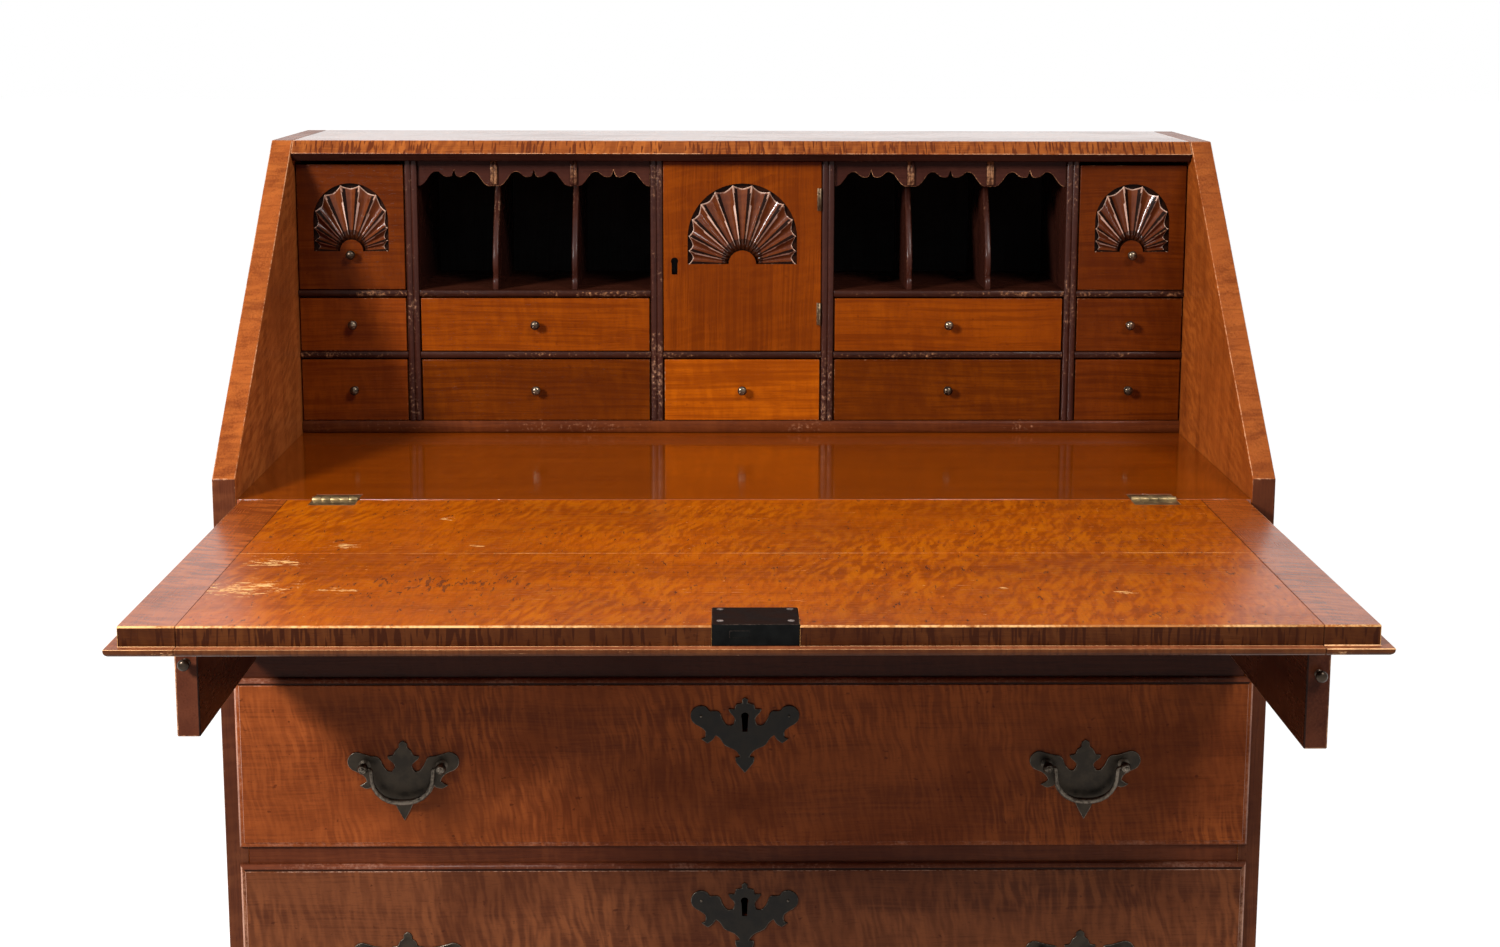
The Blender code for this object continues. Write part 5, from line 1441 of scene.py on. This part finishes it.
@dataclass
class LongDrawer:
    """One long drawer with its lipped front, box, pulls and keyhole plate."""

    bench: Bench
    number: int
    low: float
    high: float
    half: float = 0.437
    lip_side: float = 0.0075
    lip_height: float = 0.003
    lip_front: float = -0.0083
    lip_back: float = -0.0013
    lip_round: float = 0.0046
    field_step: float = 0.0011
    field_inset: float = 0.0008
    field_arris: float = 0.0004
    lip_wear: float = 0.35
    lip_tilt: Point = (0.5, 0.85)
    field_tilt: float = 0.4
    line_width: float = 0.01
    groove_shade: float = -0.85
    groove_reach: float = 0.0012
    front_thickness: float = 0.021
    side_gap: float = 0.001
    foot_gap: float = 0.0003
    top_gap: float = 0.0015
    rim_drop: float = 0.005
    box_back: float = 0.4697
    box: Box = Box(0.011, 0.009, 0.004, (0.001, 0.0009), (0.003, 0.002), 0.003, 0.002)
    pull_centre: float = 0.298
    pull_half: float = 0.0486
    pull_height: float = 0.0725
    post_drop: float = 0.022
    post_half: float = 0.0337
    bail_ahead: float = 0.010
    bail_low: float = -0.0303
    bail_radius: float = 0.0028
    plate: float = 0.0014
    plate_seat: float = 0.0006
    plate_bevel: float = 0.0007
    post_crest: float = 0.0118
    post_wear: Point = (0.8, 0.25)
    bail_wear: float = 0.55
    pin_wear: float = 0.7
    key_half: float = 0.0474
    key_height: float = 0.0684
    key_drop: float = 0.016
    eye_drop: float = 0.0134
    key_depth: float = -0.001
    pin_at: Point = (0.0383, 0.0167)
    keyhole: Keyhole = Keyhole(0.0034, 0.0044, 0.0175)

    def build(self) -> None:
        """Makes the drawer, its brasses and its bails."""
        top = self.high - self.top_gap
        lip_low = self.low - self.lip_height
        lip_high = top if self.number == 1 else self.high + self.lip_height
        body = f"long_drawer_{self.number}"
        self._front(body, lip_low, lip_high)
        half = self.half - self.side_gap
        depth = (self.lip_front + self.front_thickness, self.box_back)
        box = self.box.make((-half, half), depth, (self.low + self.foot_gap, top - self.rim_drop))
        self.bench.put(box, f"{body}_box", body, "inside_wood", "secondary_wood")
        for side, sign in SIDES:
            self._pull(body, side, sign * self.pull_centre, (lip_low + lip_high) / 2)
        self._key_plate(body, lip_high - self.key_drop)

    def _front(self, body: str, low: float, high: float) -> None:
        """The front board, with a thumb moulding round its raised field.

        Args:
            body: The drawer's body.
            low: The lip's lower edge.
            high: The lip's upper edge.
        """
        half = self.half + self.lip_side
        front, back = self.lip_front, self.lip_back
        ground = front + self.field_step
        slab = block((-half, ground, low), (half, back, high))
        ease(slab, self.lip_round, 6, edges_before(ground + SMALL), self.lip_wear)
        face = min(slab.faces, key=lambda f: f.calc_center_median().y)
        bmesh.ops.inset_region(slab, faces=[face], thickness=self.field_inset)
        grown = bmesh.ops.extrude_face_region(slab, geom=[face])["geom"]
        bmesh.ops.translate(slab, vec=(0, -self.field_step, 0), verts=picked(BMVert, grown))
        bmesh.ops.delete(slab, geom=[face], context="FACES")
        ease(slab, self.field_arris, 2, edges_before(front + SMALL))
        inner, top = self.half - self.side_gap, self.high - self.top_gap
        behind = block(
            (-inner, back - LAP, self.low + self.foot_gap),
            (inner, front + self.front_thickness, top),
            FRONT_ARRIS,
        )
        eye = high - self.key_drop - self.eye_drop
        hole = self.keyhole.cutter(0, eye, front - CUT_AHEAD, self.key_depth)
        slab = cut(add(slab, behind), hole)

        def groove(spot: Vector) -> float:
            """Painted shade in the step round the raised field, near its top."""
            at_step = abs(spot.y - ground) < NEAR and spot.z > (low + high) / 2
            near_top = high - spot.z < self.lip_round + self.groove_reach
            return self.groove_shade if at_step and near_top else 0.0

        def line(part: BMFace) -> bool:
            """Whether it is a painted highlight line along the sides of the lip or of the field."""
            spot, across = part.calc_center_median(), abs(part.normal.x)
            on_lip = self.lip_tilt[0] < across < self.lip_tilt[1] and ground < spot.y < back
            at_field = across > self.field_tilt and spot.y < ground - SMALL
            return (on_lip or at_field) and abs(spot.x) > self.half - self.line_width

        mark_wear_and_shade(slab, groove)
        finish = "long_drawer" if self.number < 3 else "lower_drawer"
        upper = within(nz=(TILTED, FAR), y=(ground, back))
        accents = (("drawer_lip", upper), ("lip_highlight", line))
        self.bench.put(slab, f"{body}_front", body, finish, "drawer_maple", body, 0, accents)

    def _plate(
        self, outline: Sequence[Point], centre: float, top: float, half: float, height: float
    ) -> BMesh:
        """A cast plate with a bevelled edge.

        Args:
            outline: Its right half, as shares from the top.
            centre: Its middle along X.
            top: Its top.
            half: Half its width.
            height: Its height.

        Returns:
            The plate.
        """
        right = [(x * half, -z * height) for x, z in outline]
        ring = [(0.0, 0.0), *right, (0.0, -height), *((-x, z) for x, z in reversed(right))]
        fine = [(centre + x, top + z) for x, z in flowing(ring)]
        front = self.lip_front - self.plate
        shape = board(fine, "Y", front, self.lip_front + self.plate_seat)
        return ease(shape, self.plate_bevel, 2, edges_before(front + TINY))

    def _pull(self, body: str, side: str, centre: float, middle: float) -> None:
        """One pull: plate, two posts and the swinging bail.

        Args:
            body: The drawer's body.
            side: Which pull it is.
            centre: Its middle along X.
            middle: The height of its posts.
        """
        put = self.bench.put
        top = middle + self.post_drop
        plate = self._plate(PULL_OUTLINE, centre, top, self.pull_half, self.pull_height)
        put(plate, f"{body}_plate_{side}", body, "bronze", "old_brass")
        seat = self.lip_front - self.plate
        for word, sign in SIDES:
            post = turned(POST_PROFILE, 28, (centre + sign * self.post_half, seat, middle))
            mark_wear_and_shade(post, rubbed_before(seat - self.post_crest, *self.post_wear))
            put(post, f"{body}_post_{side}_{word}", body, "bronze", "old_brass", "", 50)
        half = [(x, 0.0, z) for x, z, _radius in BAIL_LINE]
        mirrored = [(-x, y, z) for x, y, z in reversed(half)]
        radii = [radius for _x, _z, radius in BAIL_LINE]
        radii = [*radii, self.bail_radius, *reversed(radii)]
        rod = drawn_rod([*half, (0.0, 0.0, self.bail_low), *mirrored], radii, 20)
        placed(mark_wear_and_shade(rod, self.bail_wear), (centre, seat - self.bail_ahead, middle))
        bail = f"bail_{side}_{self.number}"
        put(rod, f"{bail}_rod", bail, "bronze", "old_brass", bail, 60)

    def _key_plate(self, body: str, top: float) -> None:
        """The keyhole plate with its hole and two pins.

        Args:
            body: The drawer's body.
            top: The plate's top.
        """
        plate = self._plate(ESCUTCHEON_OUTLINE, 0, top, self.key_half, self.key_height)
        start = self.lip_front - CUT_AHEAD
        hole = self.keyhole.cutter(0, top - self.eye_drop, start, CUT_AHEAD)
        self.bench.put(cut(plate, hole), f"{body}_key_plate", body, "shaded_key_bronze", "old_brass")
        across, down = self.pin_at
        for side, sign in SIDES:
            at = (sign * across, self.lip_front - self.plate, top - down)
            pin = mark_wear_and_shade(turned(PIN_PROFILE, 14, at), self.pin_wear)
            name = f"{body}_key_pin_{side}"
            self.bench.put(pin, name, body, "bronze", "old_brass", "", 50)


@dataclass(frozen=True)
class Fan:
    """A carved fan: its sizes, and its hub's X and Z on a surface at Y."""

    half_width: float
    stilt: float
    hub: float
    flutes: int
    centre: float = 0.0
    base: float = 0.0
    face: float = 0.0
    recess: float = 0.0062
    hollow: float = 0.0046
    scallop: float = 0.0050
    margin: float = 0.0009
    hub_gap: float = 0.0006
    roundness: float = 1.45
    scallop_curve: float = 0.8
    scallop_share: float = 0.9
    overrun: float = 1.06
    shallowest: float = 0.0004
    root: float = 0.02
    root_depth: float = 0.8
    swell: Place = (0.35, 0.65, 1.6)
    crown: Point = (0.0003, 1.02)
    skirt: float = 0.0012
    ridge: float = 0.01
    bare_from: float = 0.99
    root_shade_to: float = 0.10
    root_shade: float = -0.7
    pocket_shade: float = -0.9
    cut_ahead: float = 0.003
    relief_floor: float = 0.95
    lit_from: float = 0.86
    lit_reach: Place = (0.10, 0.66, 0.16)
    lit_waves: float = 9.0
    shade_to: float = 0.20
    shade_reach: Point = (0.12, 0.90)
    per_flute: int = 14
    rows: int = 12

    def reach(self, turn: float) -> float:
        """How far the stilted arch is from the hub's centre, at an angle from the right."""
        side = abs(math.cos(turn))
        if side > 1e-9 and self.half_width / side * math.sin(turn) < self.stilt:
            return self.half_width / side
        rise = math.sqrt(self.half_width**2 - (self.stilt * math.cos(turn)) ** 2)
        return self.stilt * math.sin(turn) + rise

    def spoke(self, turn: float, far: float) -> Point:
        """The X and Z of a point at an angle and a distance from the hub's centre."""
        return self.centre + far * math.cos(turn), self.base + far * math.sin(turn)

    def pocket(self) -> BMesh:
        """The sunk ground round the hub, to cut with."""
        outline = []
        for i in range(65):
            turn = math.pi * i / 64
            outline.append(self.spoke(turn, self.reach(turn)))
        outline += [self.spoke(math.pi * (1 - i / 24), self.hub) for i in range(25)]
        return board(outline, "Y", self.face - self.cut_ahead, self.face + self.recess)

    def darkening(self, spot: Vector) -> float:
        """The mark that paints shade on the pocket's walls and floor."""
        high = self.stilt + self.half_width + LAP
        inside = abs(spot.x - self.centre) < self.half_width + LAP / 2
        inside = inside and -LAP / 2 < spot.z - self.base < high
        inside = inside and LAP / 3 < spot.y - self.face < self.recess + LAP
        return self.pocket_shade if inside else 0.0

    def relief(self) -> BMesh:
        """The carved flutes, hollow between sharp ridges and scalloped at their ends."""
        shape = bmesh.new()
        columns = self.per_flute * self.flutes
        bmesh.ops.create_grid(shape, x_segments=columns, y_segments=self.rows, size=0.5)
        bare: set[BMVert] = set()
        ends: set[BMVert] = set()
        start = self.hub + self.hub_gap
        for vert in shape.verts:
            along = min(max(vert.co.x + 0.5, 0.0), 1.0)
            out = min(max((vert.co.y + 0.5) * self.overrun, 0.0), 1.0)
            phase = (along * self.flutes) % 1.0
            dip = 1 - abs(2 * phase - 1) ** self.roundness
            # Ridge crests and the scalloped rim are marked bare: rubbed wear and a painted
            # highlight.
            if out > self.bare_from or dip < self.ridge:
                bare.add(vert)
            elif out < self.root_shade_to:
                ends.add(vert)
            turn = math.pi * along
            scallop = self.scallop * dip**self.scallop_curve * self.scallop_share
            edge = self.reach(turn) - self.margin - scallop
            swell = self.swell[0] + self.swell[1] * min(1.0, out * self.swell[2])
            rise = math.sin(math.pi * min(1.0, out * self.crown[1])) * self.crown[0]
            depth = self.shallowest + self.hollow * dip * swell - rise
            if out < self.root:
                depth = self.recess * self.root_depth
            x, z = self.spoke(turn, start + out * (edge - start))
            vert.co = (x, self.face + depth, z)
        rim = [e for e in shape.edges if e.is_boundary]
        for vert in picked(BMVert, bmesh.ops.extrude_edge_only(shape, edges=rim)["geom"]):
            vert.co.y = self.face + self.recess + self.skirt
            ends.add(vert)
        # Faces by the hub and the skirt's walls down into the pocket get painted shade.
        layer = wear_layer(shape)
        for flute in shape.faces:
            low = any(v in ends for v in flute.verts)
            for corner in flute.loops:
                corner[layer] = self.root_shade if low else float(corner.vert in bare)
        bmesh.ops.recalc_face_normals(shape, faces=shape.faces)
        if sum(f.normal.y * f.calc_area() for f in shape.faces) > 0:
            bmesh.ops.reverse_faces(shape, faces=shape.faces)
        return shape

    def streak(self, outer: bool) -> FaceTest:
        """Finds the flanks of the ridges that catch the light, or those turned from it.

        Args:
            outer: Whether to find the flanks that look away from the fan's middle.

        Returns:
            The test for one face.
        """

        def found(flute: BMFace) -> bool:
            """Whether a face lies beside a ridge, on the flank that is asked for.

            Args:
                flute: The face.

            Returns:
                Whether it does.
            """
            spot = flute.calc_center_median()
            across, up = spot.x - self.centre, spot.z - self.base
            far, turn = math.hypot(across, up), math.atan2(up, across)
            floor = self.face + self.recess * self.relief_floor
            if up < 0 or far < self.hub or spot.y > floor:
                return False
            share = (far - self.hub) / (self.reach(turn) - self.hub)
            phase = (turn / math.pi * self.flutes) % 1.0
            phase = phase if turn < math.pi / 2 else 1.0 - phase
            if outer:
                start, middle, sway = self.lit_reach
                end = middle + sway * math.sin(turn * self.lit_waves)
                return phase > self.lit_from and start < share < end
            return phase < self.shade_to and self.shade_reach[0] < share < self.shade_reach[1]

        return found

    def sink(self, front: BMesh) -> BMesh:
        """Sinks the fan's ground into a front, and paints shade on it."""
        return mark_wear_and_shade(cut(front, self.pocket()), self.darkening)

    def carve(self, bench: Bench, name: str, body: str) -> None:
        """Carves the fan and sets it in the desk.

        Args:
            bench: Where it is finished.
            name: Its name.
            body: The body that carries it.
        """
        accents = (("ridge_glint", self.streak(True)), ("ridge_shade", self.streak(False)))
        bench.put(self.relief(), name, body, "carving", "gallery_maple", "", 48, accents)


DIVIDER_LINE = (
    (0.00, 0.000), (0.05, -0.0005), (0.085, 0.001), (0.105, 0.005), (0.16, 0.003), (0.25, 0.003),
    (0.34, 0.007), (0.44, 0.013), (0.55, 0.021), (0.66, 0.030), (0.75, 0.036), (0.80, 0.038),
)
VALANCE_LINE = (
    (1.00, 1.00), (0.93, 1.00), (0.84, 0.93), (0.76, 0.80), (0.68, 0.64), (0.60, 0.50),
    (0.50, 0.44), (0.42, 0.45), (0.36, 0.52), (0.29, 0.60), (0.22, 0.64), (0.13, 0.65),
    (0.06, 0.60), (0.00, 0.38),
)


@dataclass
class Gallery:
    """The fitted interior: partitions, shelves, pigeonholes, drawers and door."""

    bench: Bench
    front: float = 0.3114
    back: float = 0.4837
    clearance: float = 0.0006
    gap: float = 0.0003
    centre_half: float = 0.0782
    partition: float = 0.012
    bay: float = 0.2278
    side_inner: float = 0.437
    plinth_top: float = 0.0123
    lower_shelf: float = 0.0753
    lower_shelf_top: float = 0.0819
    upper_shelf: float = 0.1364
    upper_shelf_top: float = 0.1430
    top: float = 0.2702
    divider: float = 0.006
    divider_round: float = 0.0018
    divider_depth: float = 0.041
    setback: float = 0.003
    valance_drop: float = 0.025
    valance_board: float = 0.006
    valance_arris: float = 0.0004
    bead: float = 0.0017
    bead_round: float = 0.0013
    bead_drop: float = 0.0235
    bead_arrises: Point = (0.0003, 0.0002)
    bead_levels: Point = (0.0006, 0.0014)
    bead_wear: Point = (0.4, 1.0)
    shade_sheet: Point = (0.0006, 0.0001)
    front_board: float = 0.009
    front_inset: float = 0.0008
    front_drop: float = 0.0009
    back_gap: float = 0.010
    box: Box = Box(0.005, 0.0045, 0.002, (0.0006, 0.0006), (0.001, 0.001), 0.002, 0.0008)
    rim_drop: float = 0.002
    knob_drop: float = 0.003
    knob_crest: float = 0.0085
    knob_wear: Point = (0.8, 0.2)
    fan_top_gap: float = 0.003
    fan_rise: float = 0.038
    drawer_fan: Fan = Fan(0.0366, 0.0300, 0.0114, 11)
    door_fan: Fan = Fan(0.0538, 0.0255, 0.0135, 13)
    door_fan_rise: float = 0.087
    door_thickness: float = 0.016
    key_at: Place = (0.0115, 0.0935, 0.0851)
    keyhole: Keyhole = Keyhole(0.0036, 0.0056, 0.0168)
    key_depth: float = 0.010
    key_reach: Point = (0.0038, 0.0087)
    hinge_height: float = 0.022
    hinge_radius: float = 0.0014
    hinge_line: Point = (0.0017, 0.0018)
    hinge_feet: Point = (0.026, 0.048)
    hinge_nose: float = 0.0004
    hinge_leaf: Place = (0.0030, 0.0008, 0.0006)
    hinge_web: Point = (0.0012, 0.0004)
    hinge_arris: float = 0.0002
    hinge_wear: float = 0.9

    @property
    def bay_inner(self) -> float:
        """The bays' inner edge along X."""
        return self.centre_half + self.partition

    @property
    def bay_outer(self) -> float:
        """The bays' outer edge along X."""
        return self.bay_inner + self.bay

    @property
    def hole(self) -> float:
        """The clear width of a pigeonhole."""
        return (self.bay - 2 * self.divider) / 3

    def build(self) -> None:
        """Makes every piece of the gallery."""
        dress = self.bench.dress

        def beads(spot: Vector) -> float:
            """The beads of the front edge are rubbed, most of all at their crests."""
            proud = self.front - spot.y
            if proud < self.bead_levels[0]:
                return 0.0
            return self.bead_wear[proud > self.bead_levels[1]]

        upright, across = self.bead_arrises
        for number in range(1, 5):
            node = f"gallery_partition_{number}"
            dress(node, "gallery_upright", "gallery_dark", upright, beads, 24)
        dress("gallery_plinth", "plinth", "gallery_dark", across, beads, 24)
        for name in ("lower", "left", "right"):
            dress(f"gallery_shelf_{name}", "gallery_dark", "gallery_dark", across, beads, 24)
        # A near-black sheet over the back boards, behind the pigeonholes and drawers: painted
        # shade.
        half, (thick, thin) = self.side_inner - LAP, self.shade_sheet
        low = (-half, self.back - thick, self.plinth_top)
        shade_sheet = block(low, (half, self.back - thin, self.top), thin)
        self.bench.put(shade_sheet, "gallery_back_shade_sheet", "case", "hollow_shade")
        self._dividers()
        for side, sign in SIDES:
            self._valance(sign, side)
            self._stack(sign, side)
        levels = (self.plinth_top, self.lower_shelf)
        span = (-self.centre_half, self.centre_half)
        self._drawer("centre_drawer", span, levels, "centre_bright")
        self._door()

    def _dividers(self) -> None:
        """The thin dividers with their serpentine front edges."""
        step, half = self.hole + self.divider, self.divider / 2
        first = self.bay_inner + self.hole + half
        low = self.upper_shelf_top + self.gap
        ahead, height = self.front + self.setback, self.top - low
        line = [(ahead + back, low + up * height) for up, back in DIVIDER_LINE]
        deep = self.front + self.divider_depth
        outline = [(self.back, self.top), (self.back, low), *line, (deep, self.top)]

        def front_arris(edge: BMEdge) -> bool:
            """Whether it runs along the shaped edge."""
            one, two = (v.co for v in edge.verts)
            return abs(one.x - two.x) < TINY and max(one.y, two.y) < deep + LAP

        for number, centre in enumerate((-first - step, -first, first, first + step), start=1):
            shape = board(flowing(outline, 3, 40), "X", centre - half, centre + half)
            ease(shape, self.divider_round, 3, front_arris)
            node = f"pigeonhole_divider_{number}"
            look = ("gallery_upright", "gallery_dark", node, 30)
            self.bench.put(shape, f"{node}_board", "case", *look)

    def _valance(self, sign: int, side: str) -> None:
        """One strip of three scalloped drops, with the beaded tips before the dividers.

        Args:
            sign: -1 on the left and 1 on the right.
            side: The side's name.
        """
        width, bead = self.hole, self.bead
        line: list[Point] = []
        tips = []
        for hole in range(3):
            left = self.bay_inner + hole * (width + self.divider)
            centre = left + width / 2
            half = [(x * width / 2, z) for x, z in VALANCE_LINE]
            run = [(-x, z) for x, z in half] + list(reversed(half[:-1]))
            line += [(centre + x, self.top - z * self.valance_drop) for x, z in run]
            if hole:
                tips.append(left - self.divider / 2)
        inner, outer = self.bay_inner + self.gap, self.bay_outer - self.gap
        line[0], line[-1] = (inner, line[0][1]), (outer, line[-1][1])
        outline = [(sign * x, z) for x, z in (*line, (outer, self.top), (inner, self.top))]
        front = self.front + self.setback
        shape = board(flowing(outline, 3, 48), "Y", front, front + self.valance_board)
        ease(shape, self.valance_arris, 1, edges_before(front + TINY))
        for tip in tips:
            for centre in (sign * tip - bead, sign * tip + bead):
                low = (centre - bead, self.front, self.top - self.bead_drop)
                drop = block(low, (centre + bead, front + self.setback, self.top))
                ease(drop, self.bead_round, 4, edges_before(self.front + TINY))
                add(shape, mark_wear_and_shade(drop, rubbed_before(self.front + LAP, 0.5)))
        node = f"valance_{side}"
        self.bench.put(shape, f"{node}_strip", "case", "valance", "gallery_dark", node)

    def _stack(self, sign: int, side: str) -> None:
        """The outer stack and the bay on one side.

        Args:
            sign: -1 on the left and 1 on the right.
            side: The side's name.
        """
        stack = sorted((sign * (self.bay_outer + self.partition), sign * self.side_inner))
        bay = sorted((sign * self.bay_inner, sign * self.bay_outer))
        lower = (self.plinth_top, self.lower_shelf)
        middle = (self.lower_shelf_top, self.upper_shelf)
        # The left stack takes the lit copy, painted light; the lower row the shaded copy, painted
        # shade.
        tone = "stack_lit" if sign < 0 else "stack_front"
        for row, levels, wide in (("lower", lower, "wide_dim"), ("middle", middle, "wide_bright")):
            self._drawer(f"small_drawer_{side}_{row}", stack, levels, tone)
            self._drawer(f"wide_drawer_{side}_{row}", bay, levels, wide)
        levels = (self.upper_shelf_top, self.top)
        self._drawer(f"fan_drawer_{side}", stack, levels, "stack_front", self.drawer_fan)

    def _drawer(
        self, body: str, span: Sequence[float], levels: Point, finish: str, fan: Fan | None = None
    ) -> None:
        """One small drawer with its box and knob.

        Args:
            body: The drawer's body, which is also its node.
            span: Its opening along X.
            levels: Its opening along Z.
            finish: The front's finish.
            fan: The fan that is carved in it.
        """
        top_gap = self.fan_top_gap if fan else self.clearance
        low, high = levels[0] + self.gap, levels[1] - top_gap
        left, right = span[0] + self.clearance, span[1] - self.clearance
        centre, behind = (left + right) / 2, self.front + self.front_board
        face = block(
            (left + self.front_inset, self.front, low + self.gap),
            (right - self.front_inset, behind, high - self.front_drop),
            FRONT_ARRIS,
        )
        knob_at = (low + high) / 2
        if fan:
            fan = replace(fan, centre=centre, base=low + self.fan_rise, face=self.front)
            knob_at = fan.base - self.knob_drop
            face = fan.sink(face)
            fan.carve(self.bench, f"{body}_fan", body)
        put = self.bench.put
        put(face, f"{body}_front", body, finish, "gallery_maple", body)
        depth = (behind, self.back - self.back_gap)
        box = self.box.make((left, right), depth, (low, high - self.rim_drop))
        put(box, f"{body}_box", body, "inside_wood", "secondary_wood")
        knob = turned(KNOB_PROFILE, 24, (centre, self.front, knob_at))
        mark_wear_and_shade(knob, rubbed_before(self.front - self.knob_crest, *self.knob_wear))
        put(knob, f"{body}_knob", body, "knob_metal", "old_brass", "", 50)

    def _door(self) -> None:
        """The prospect door with its fan, keyhole and brass hinges."""
        body, front, sill = "prospect_door", self.front, self.lower_shelf_top
        half = self.centre_half - self.clearance
        low, high = sill + self.clearance, self.top - self.clearance
        back = front + self.door_thickness
        door = block((-half, front, low), (half, back, high), FRONT_ARRIS)
        fan = replace(self.door_fan, base=sill + self.door_fan_rise, face=front)
        inset, eye, middle = self.key_at
        key_x = -self.centre_half + inset
        deep = front + self.key_depth
        hole = self.keyhole.cutter(key_x, sill + eye, front - CUT_AHEAD, deep)
        door = cut(fan.sink(door), hole)

        def keyhole_shade(spot: Vector) -> float:
            """Painted shade inside the keyhole."""
            across, up = self.key_reach
            near = abs(spot.x - key_x) < across and abs(spot.z - sill - middle) < up
            return -1.0 if near and spot.y > front + LAP / 2 else 0.0

        put = self.bench.put
        put(mark_wear_and_shade(door, keyhole_shade), "door_board", body, "door_panel", "gallery_maple", body)
        fan.carve(self.bench, "door_fan", body)
        x, y = self.centre_half - self.hinge_line[0], front - self.hinge_line[1]
        (left, right, seat), (inner, outer) = self.hinge_leaf, self.hinge_web
        upright, nose = (math.radians(-90), "X"), self.hinge_nose
        feet = (low + self.hinge_feet[0], high - self.hinge_feet[1])
        for number, foot in enumerate(feet, start=1):
            head = foot + self.hinge_height
            near, far = (x - left, front - nose, foot), (x + right, front + seat, head)
            hinge = add(
                block(near, far, self.hinge_arris),
                block((x - inner, y, foot), (x + outer, front + nose, head)),
                bar(head - foot, self.hinge_radius, (x, y, foot), upright, nose),
            )
            mark_wear_and_shade(hinge, self.hinge_wear)
            put(hinge, f"door_hinge_{number}", body, "door_brass", "old_brass", "", 40)


@dataclass
class Studio:
    """The floor, the soft light and the camera."""

    lens: float = 53.81
    shift: float = -0.0495
    sensor: float = 36.0
    near: float = 0.05
    camera_at: Place = (-0.0205, -1.9291, 1.2178)
    turns: tuple[tuple[float, str], ...] = ((-0.74, "Z"), (80.22, "X"), (0.13, "Z"))
    floor_rough: float = 0.9
    floor_glow: float = 0.9
    sky: Point = (0.10, 1.0)
    lamps: tuple[tuple[str, Place, Place, float, float], ...] = (
        ("left", (-1.7, -1.75, 2.0), (0.0, 0.0, 0.75), 0.5, 116.0),
        ("right", (1.2, -2.2, 3.0), (0.0, 0.0, 0.8), 0.8, 58.0),
        ("overhead", (0.0, -0.4, 3.0), (0.0, 0.0, 0.8), 1.5, 5.0),
    )

    def build(self) -> None:
        """Sets up the studio."""
        scene = bpy.context.scene
        self._floor()
        self._world()
        for name, at, toward, size, power in self.lamps:
            lamp = bpy.data.lights.new(name, "AREA")
            lamp.shape, lamp.size, lamp.energy = "SQUARE", size, power
            obj = bpy.data.objects.new(name, lamp)
            obj.location = at
            aim = Vector(toward) - Vector(at)
            obj.rotation_euler = aim.to_track_quat("-Z", "Y").to_euler()
            scene.collection.objects.link(obj)
        camera = bpy.data.cameras.new("camera")
        camera.lens, camera.sensor_width = self.lens, self.sensor
        camera.shift_y, camera.clip_start = self.shift, self.near
        obj = bpy.data.objects.new("camera", camera)
        seat = Matrix.Translation(self.camera_at)
        for angle, axis in self.turns:
            seat = seat @ Matrix.Rotation(math.radians(angle), 4, axis)
        obj.matrix_world = seat
        scene.collection.objects.link(obj)
        scene.camera = obj
        scene.view_settings.view_transform = "Standard"

    def _floor(self) -> None:
        """A pale floor that looks white but keeps the desk's shadow."""
        shape = bmesh.new()
        bmesh.ops.create_grid(shape, x_segments=1, y_segments=1, size=30)
        mesh = bpy.data.meshes.new("floor")
        shape.to_mesh(mesh)
        shape.free()
        floor = bpy.data.objects.new("floor", mesh)
        bpy.context.scene.collection.objects.link(floor)
        material = bpy.data.materials.new("floor_paint")
        material.use_nodes = True
        g = Graph(material.node_tree)
        shader = material.node_tree.nodes["Principled BSDF"]
        g.feed(shader.inputs, {"Base Color": (0.5, 0.5, 0.5), "Roughness": self.floor_rough})
        glow = g.fed("Emission", {"Strength": g.times(g.seen(), self.floor_glow)})[0]
        both = g.fed("AddShader", {0: shader.outputs[0], 1: glow})[0]
        g.feed(material.node_tree.nodes["Material Output"].inputs, {"Surface": both})
        mesh.materials.append(material)
        floor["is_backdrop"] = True

    def _world(self) -> None:
        """A white studio that lights the desk softly."""
        world = bpy.data.worlds.new("studio")
        bpy.context.scene.world = world
        world.use_nodes = True
        g = Graph(world.node_tree)
        sky = {"Color": (1.0, 1.0, 1.0), "Strength": g.ramp(g.seen(), 0.0, 1.0, self.sky)}
        g.feed(world.node_tree.nodes["Background"].inputs, sky)


LONG_DRAWERS = (
    {"low": -0.134, "high": -0.020, "half": 0.404, "lip_side": 0.006},
    {"low": -0.3086, "high": -0.161},
    {"low": -0.4908, "high": -0.3308},
    {"low": -0.681, "high": -0.513},
)


def main() -> None:
    """Builds the desk and its studio, and reports each piece."""
    logging.basicConfig(level=logging.INFO, format="%(message)s")
    low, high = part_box("writing_board")
    bench = Bench(Vector((0.0, low.y - HINGE_GAP, high.z)))
    Case(bench).build()
    Lid(bench).build()
    Lopers(bench).build()
    for number, sizes in enumerate(LONG_DRAWERS, start=1):
        LongDrawer(bench, number, **sizes).build()
    Gallery(bench).build()
    Studio().build()
    LOG.info("%d pieces", bench.count)
    bpy.context.view_layer.update()
    sizes = {
        "cad": [list(corner) for corner in CAD_BOX],
        "visual": [list(corner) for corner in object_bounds()],
    }


if __name__ == "__main__":
    main()
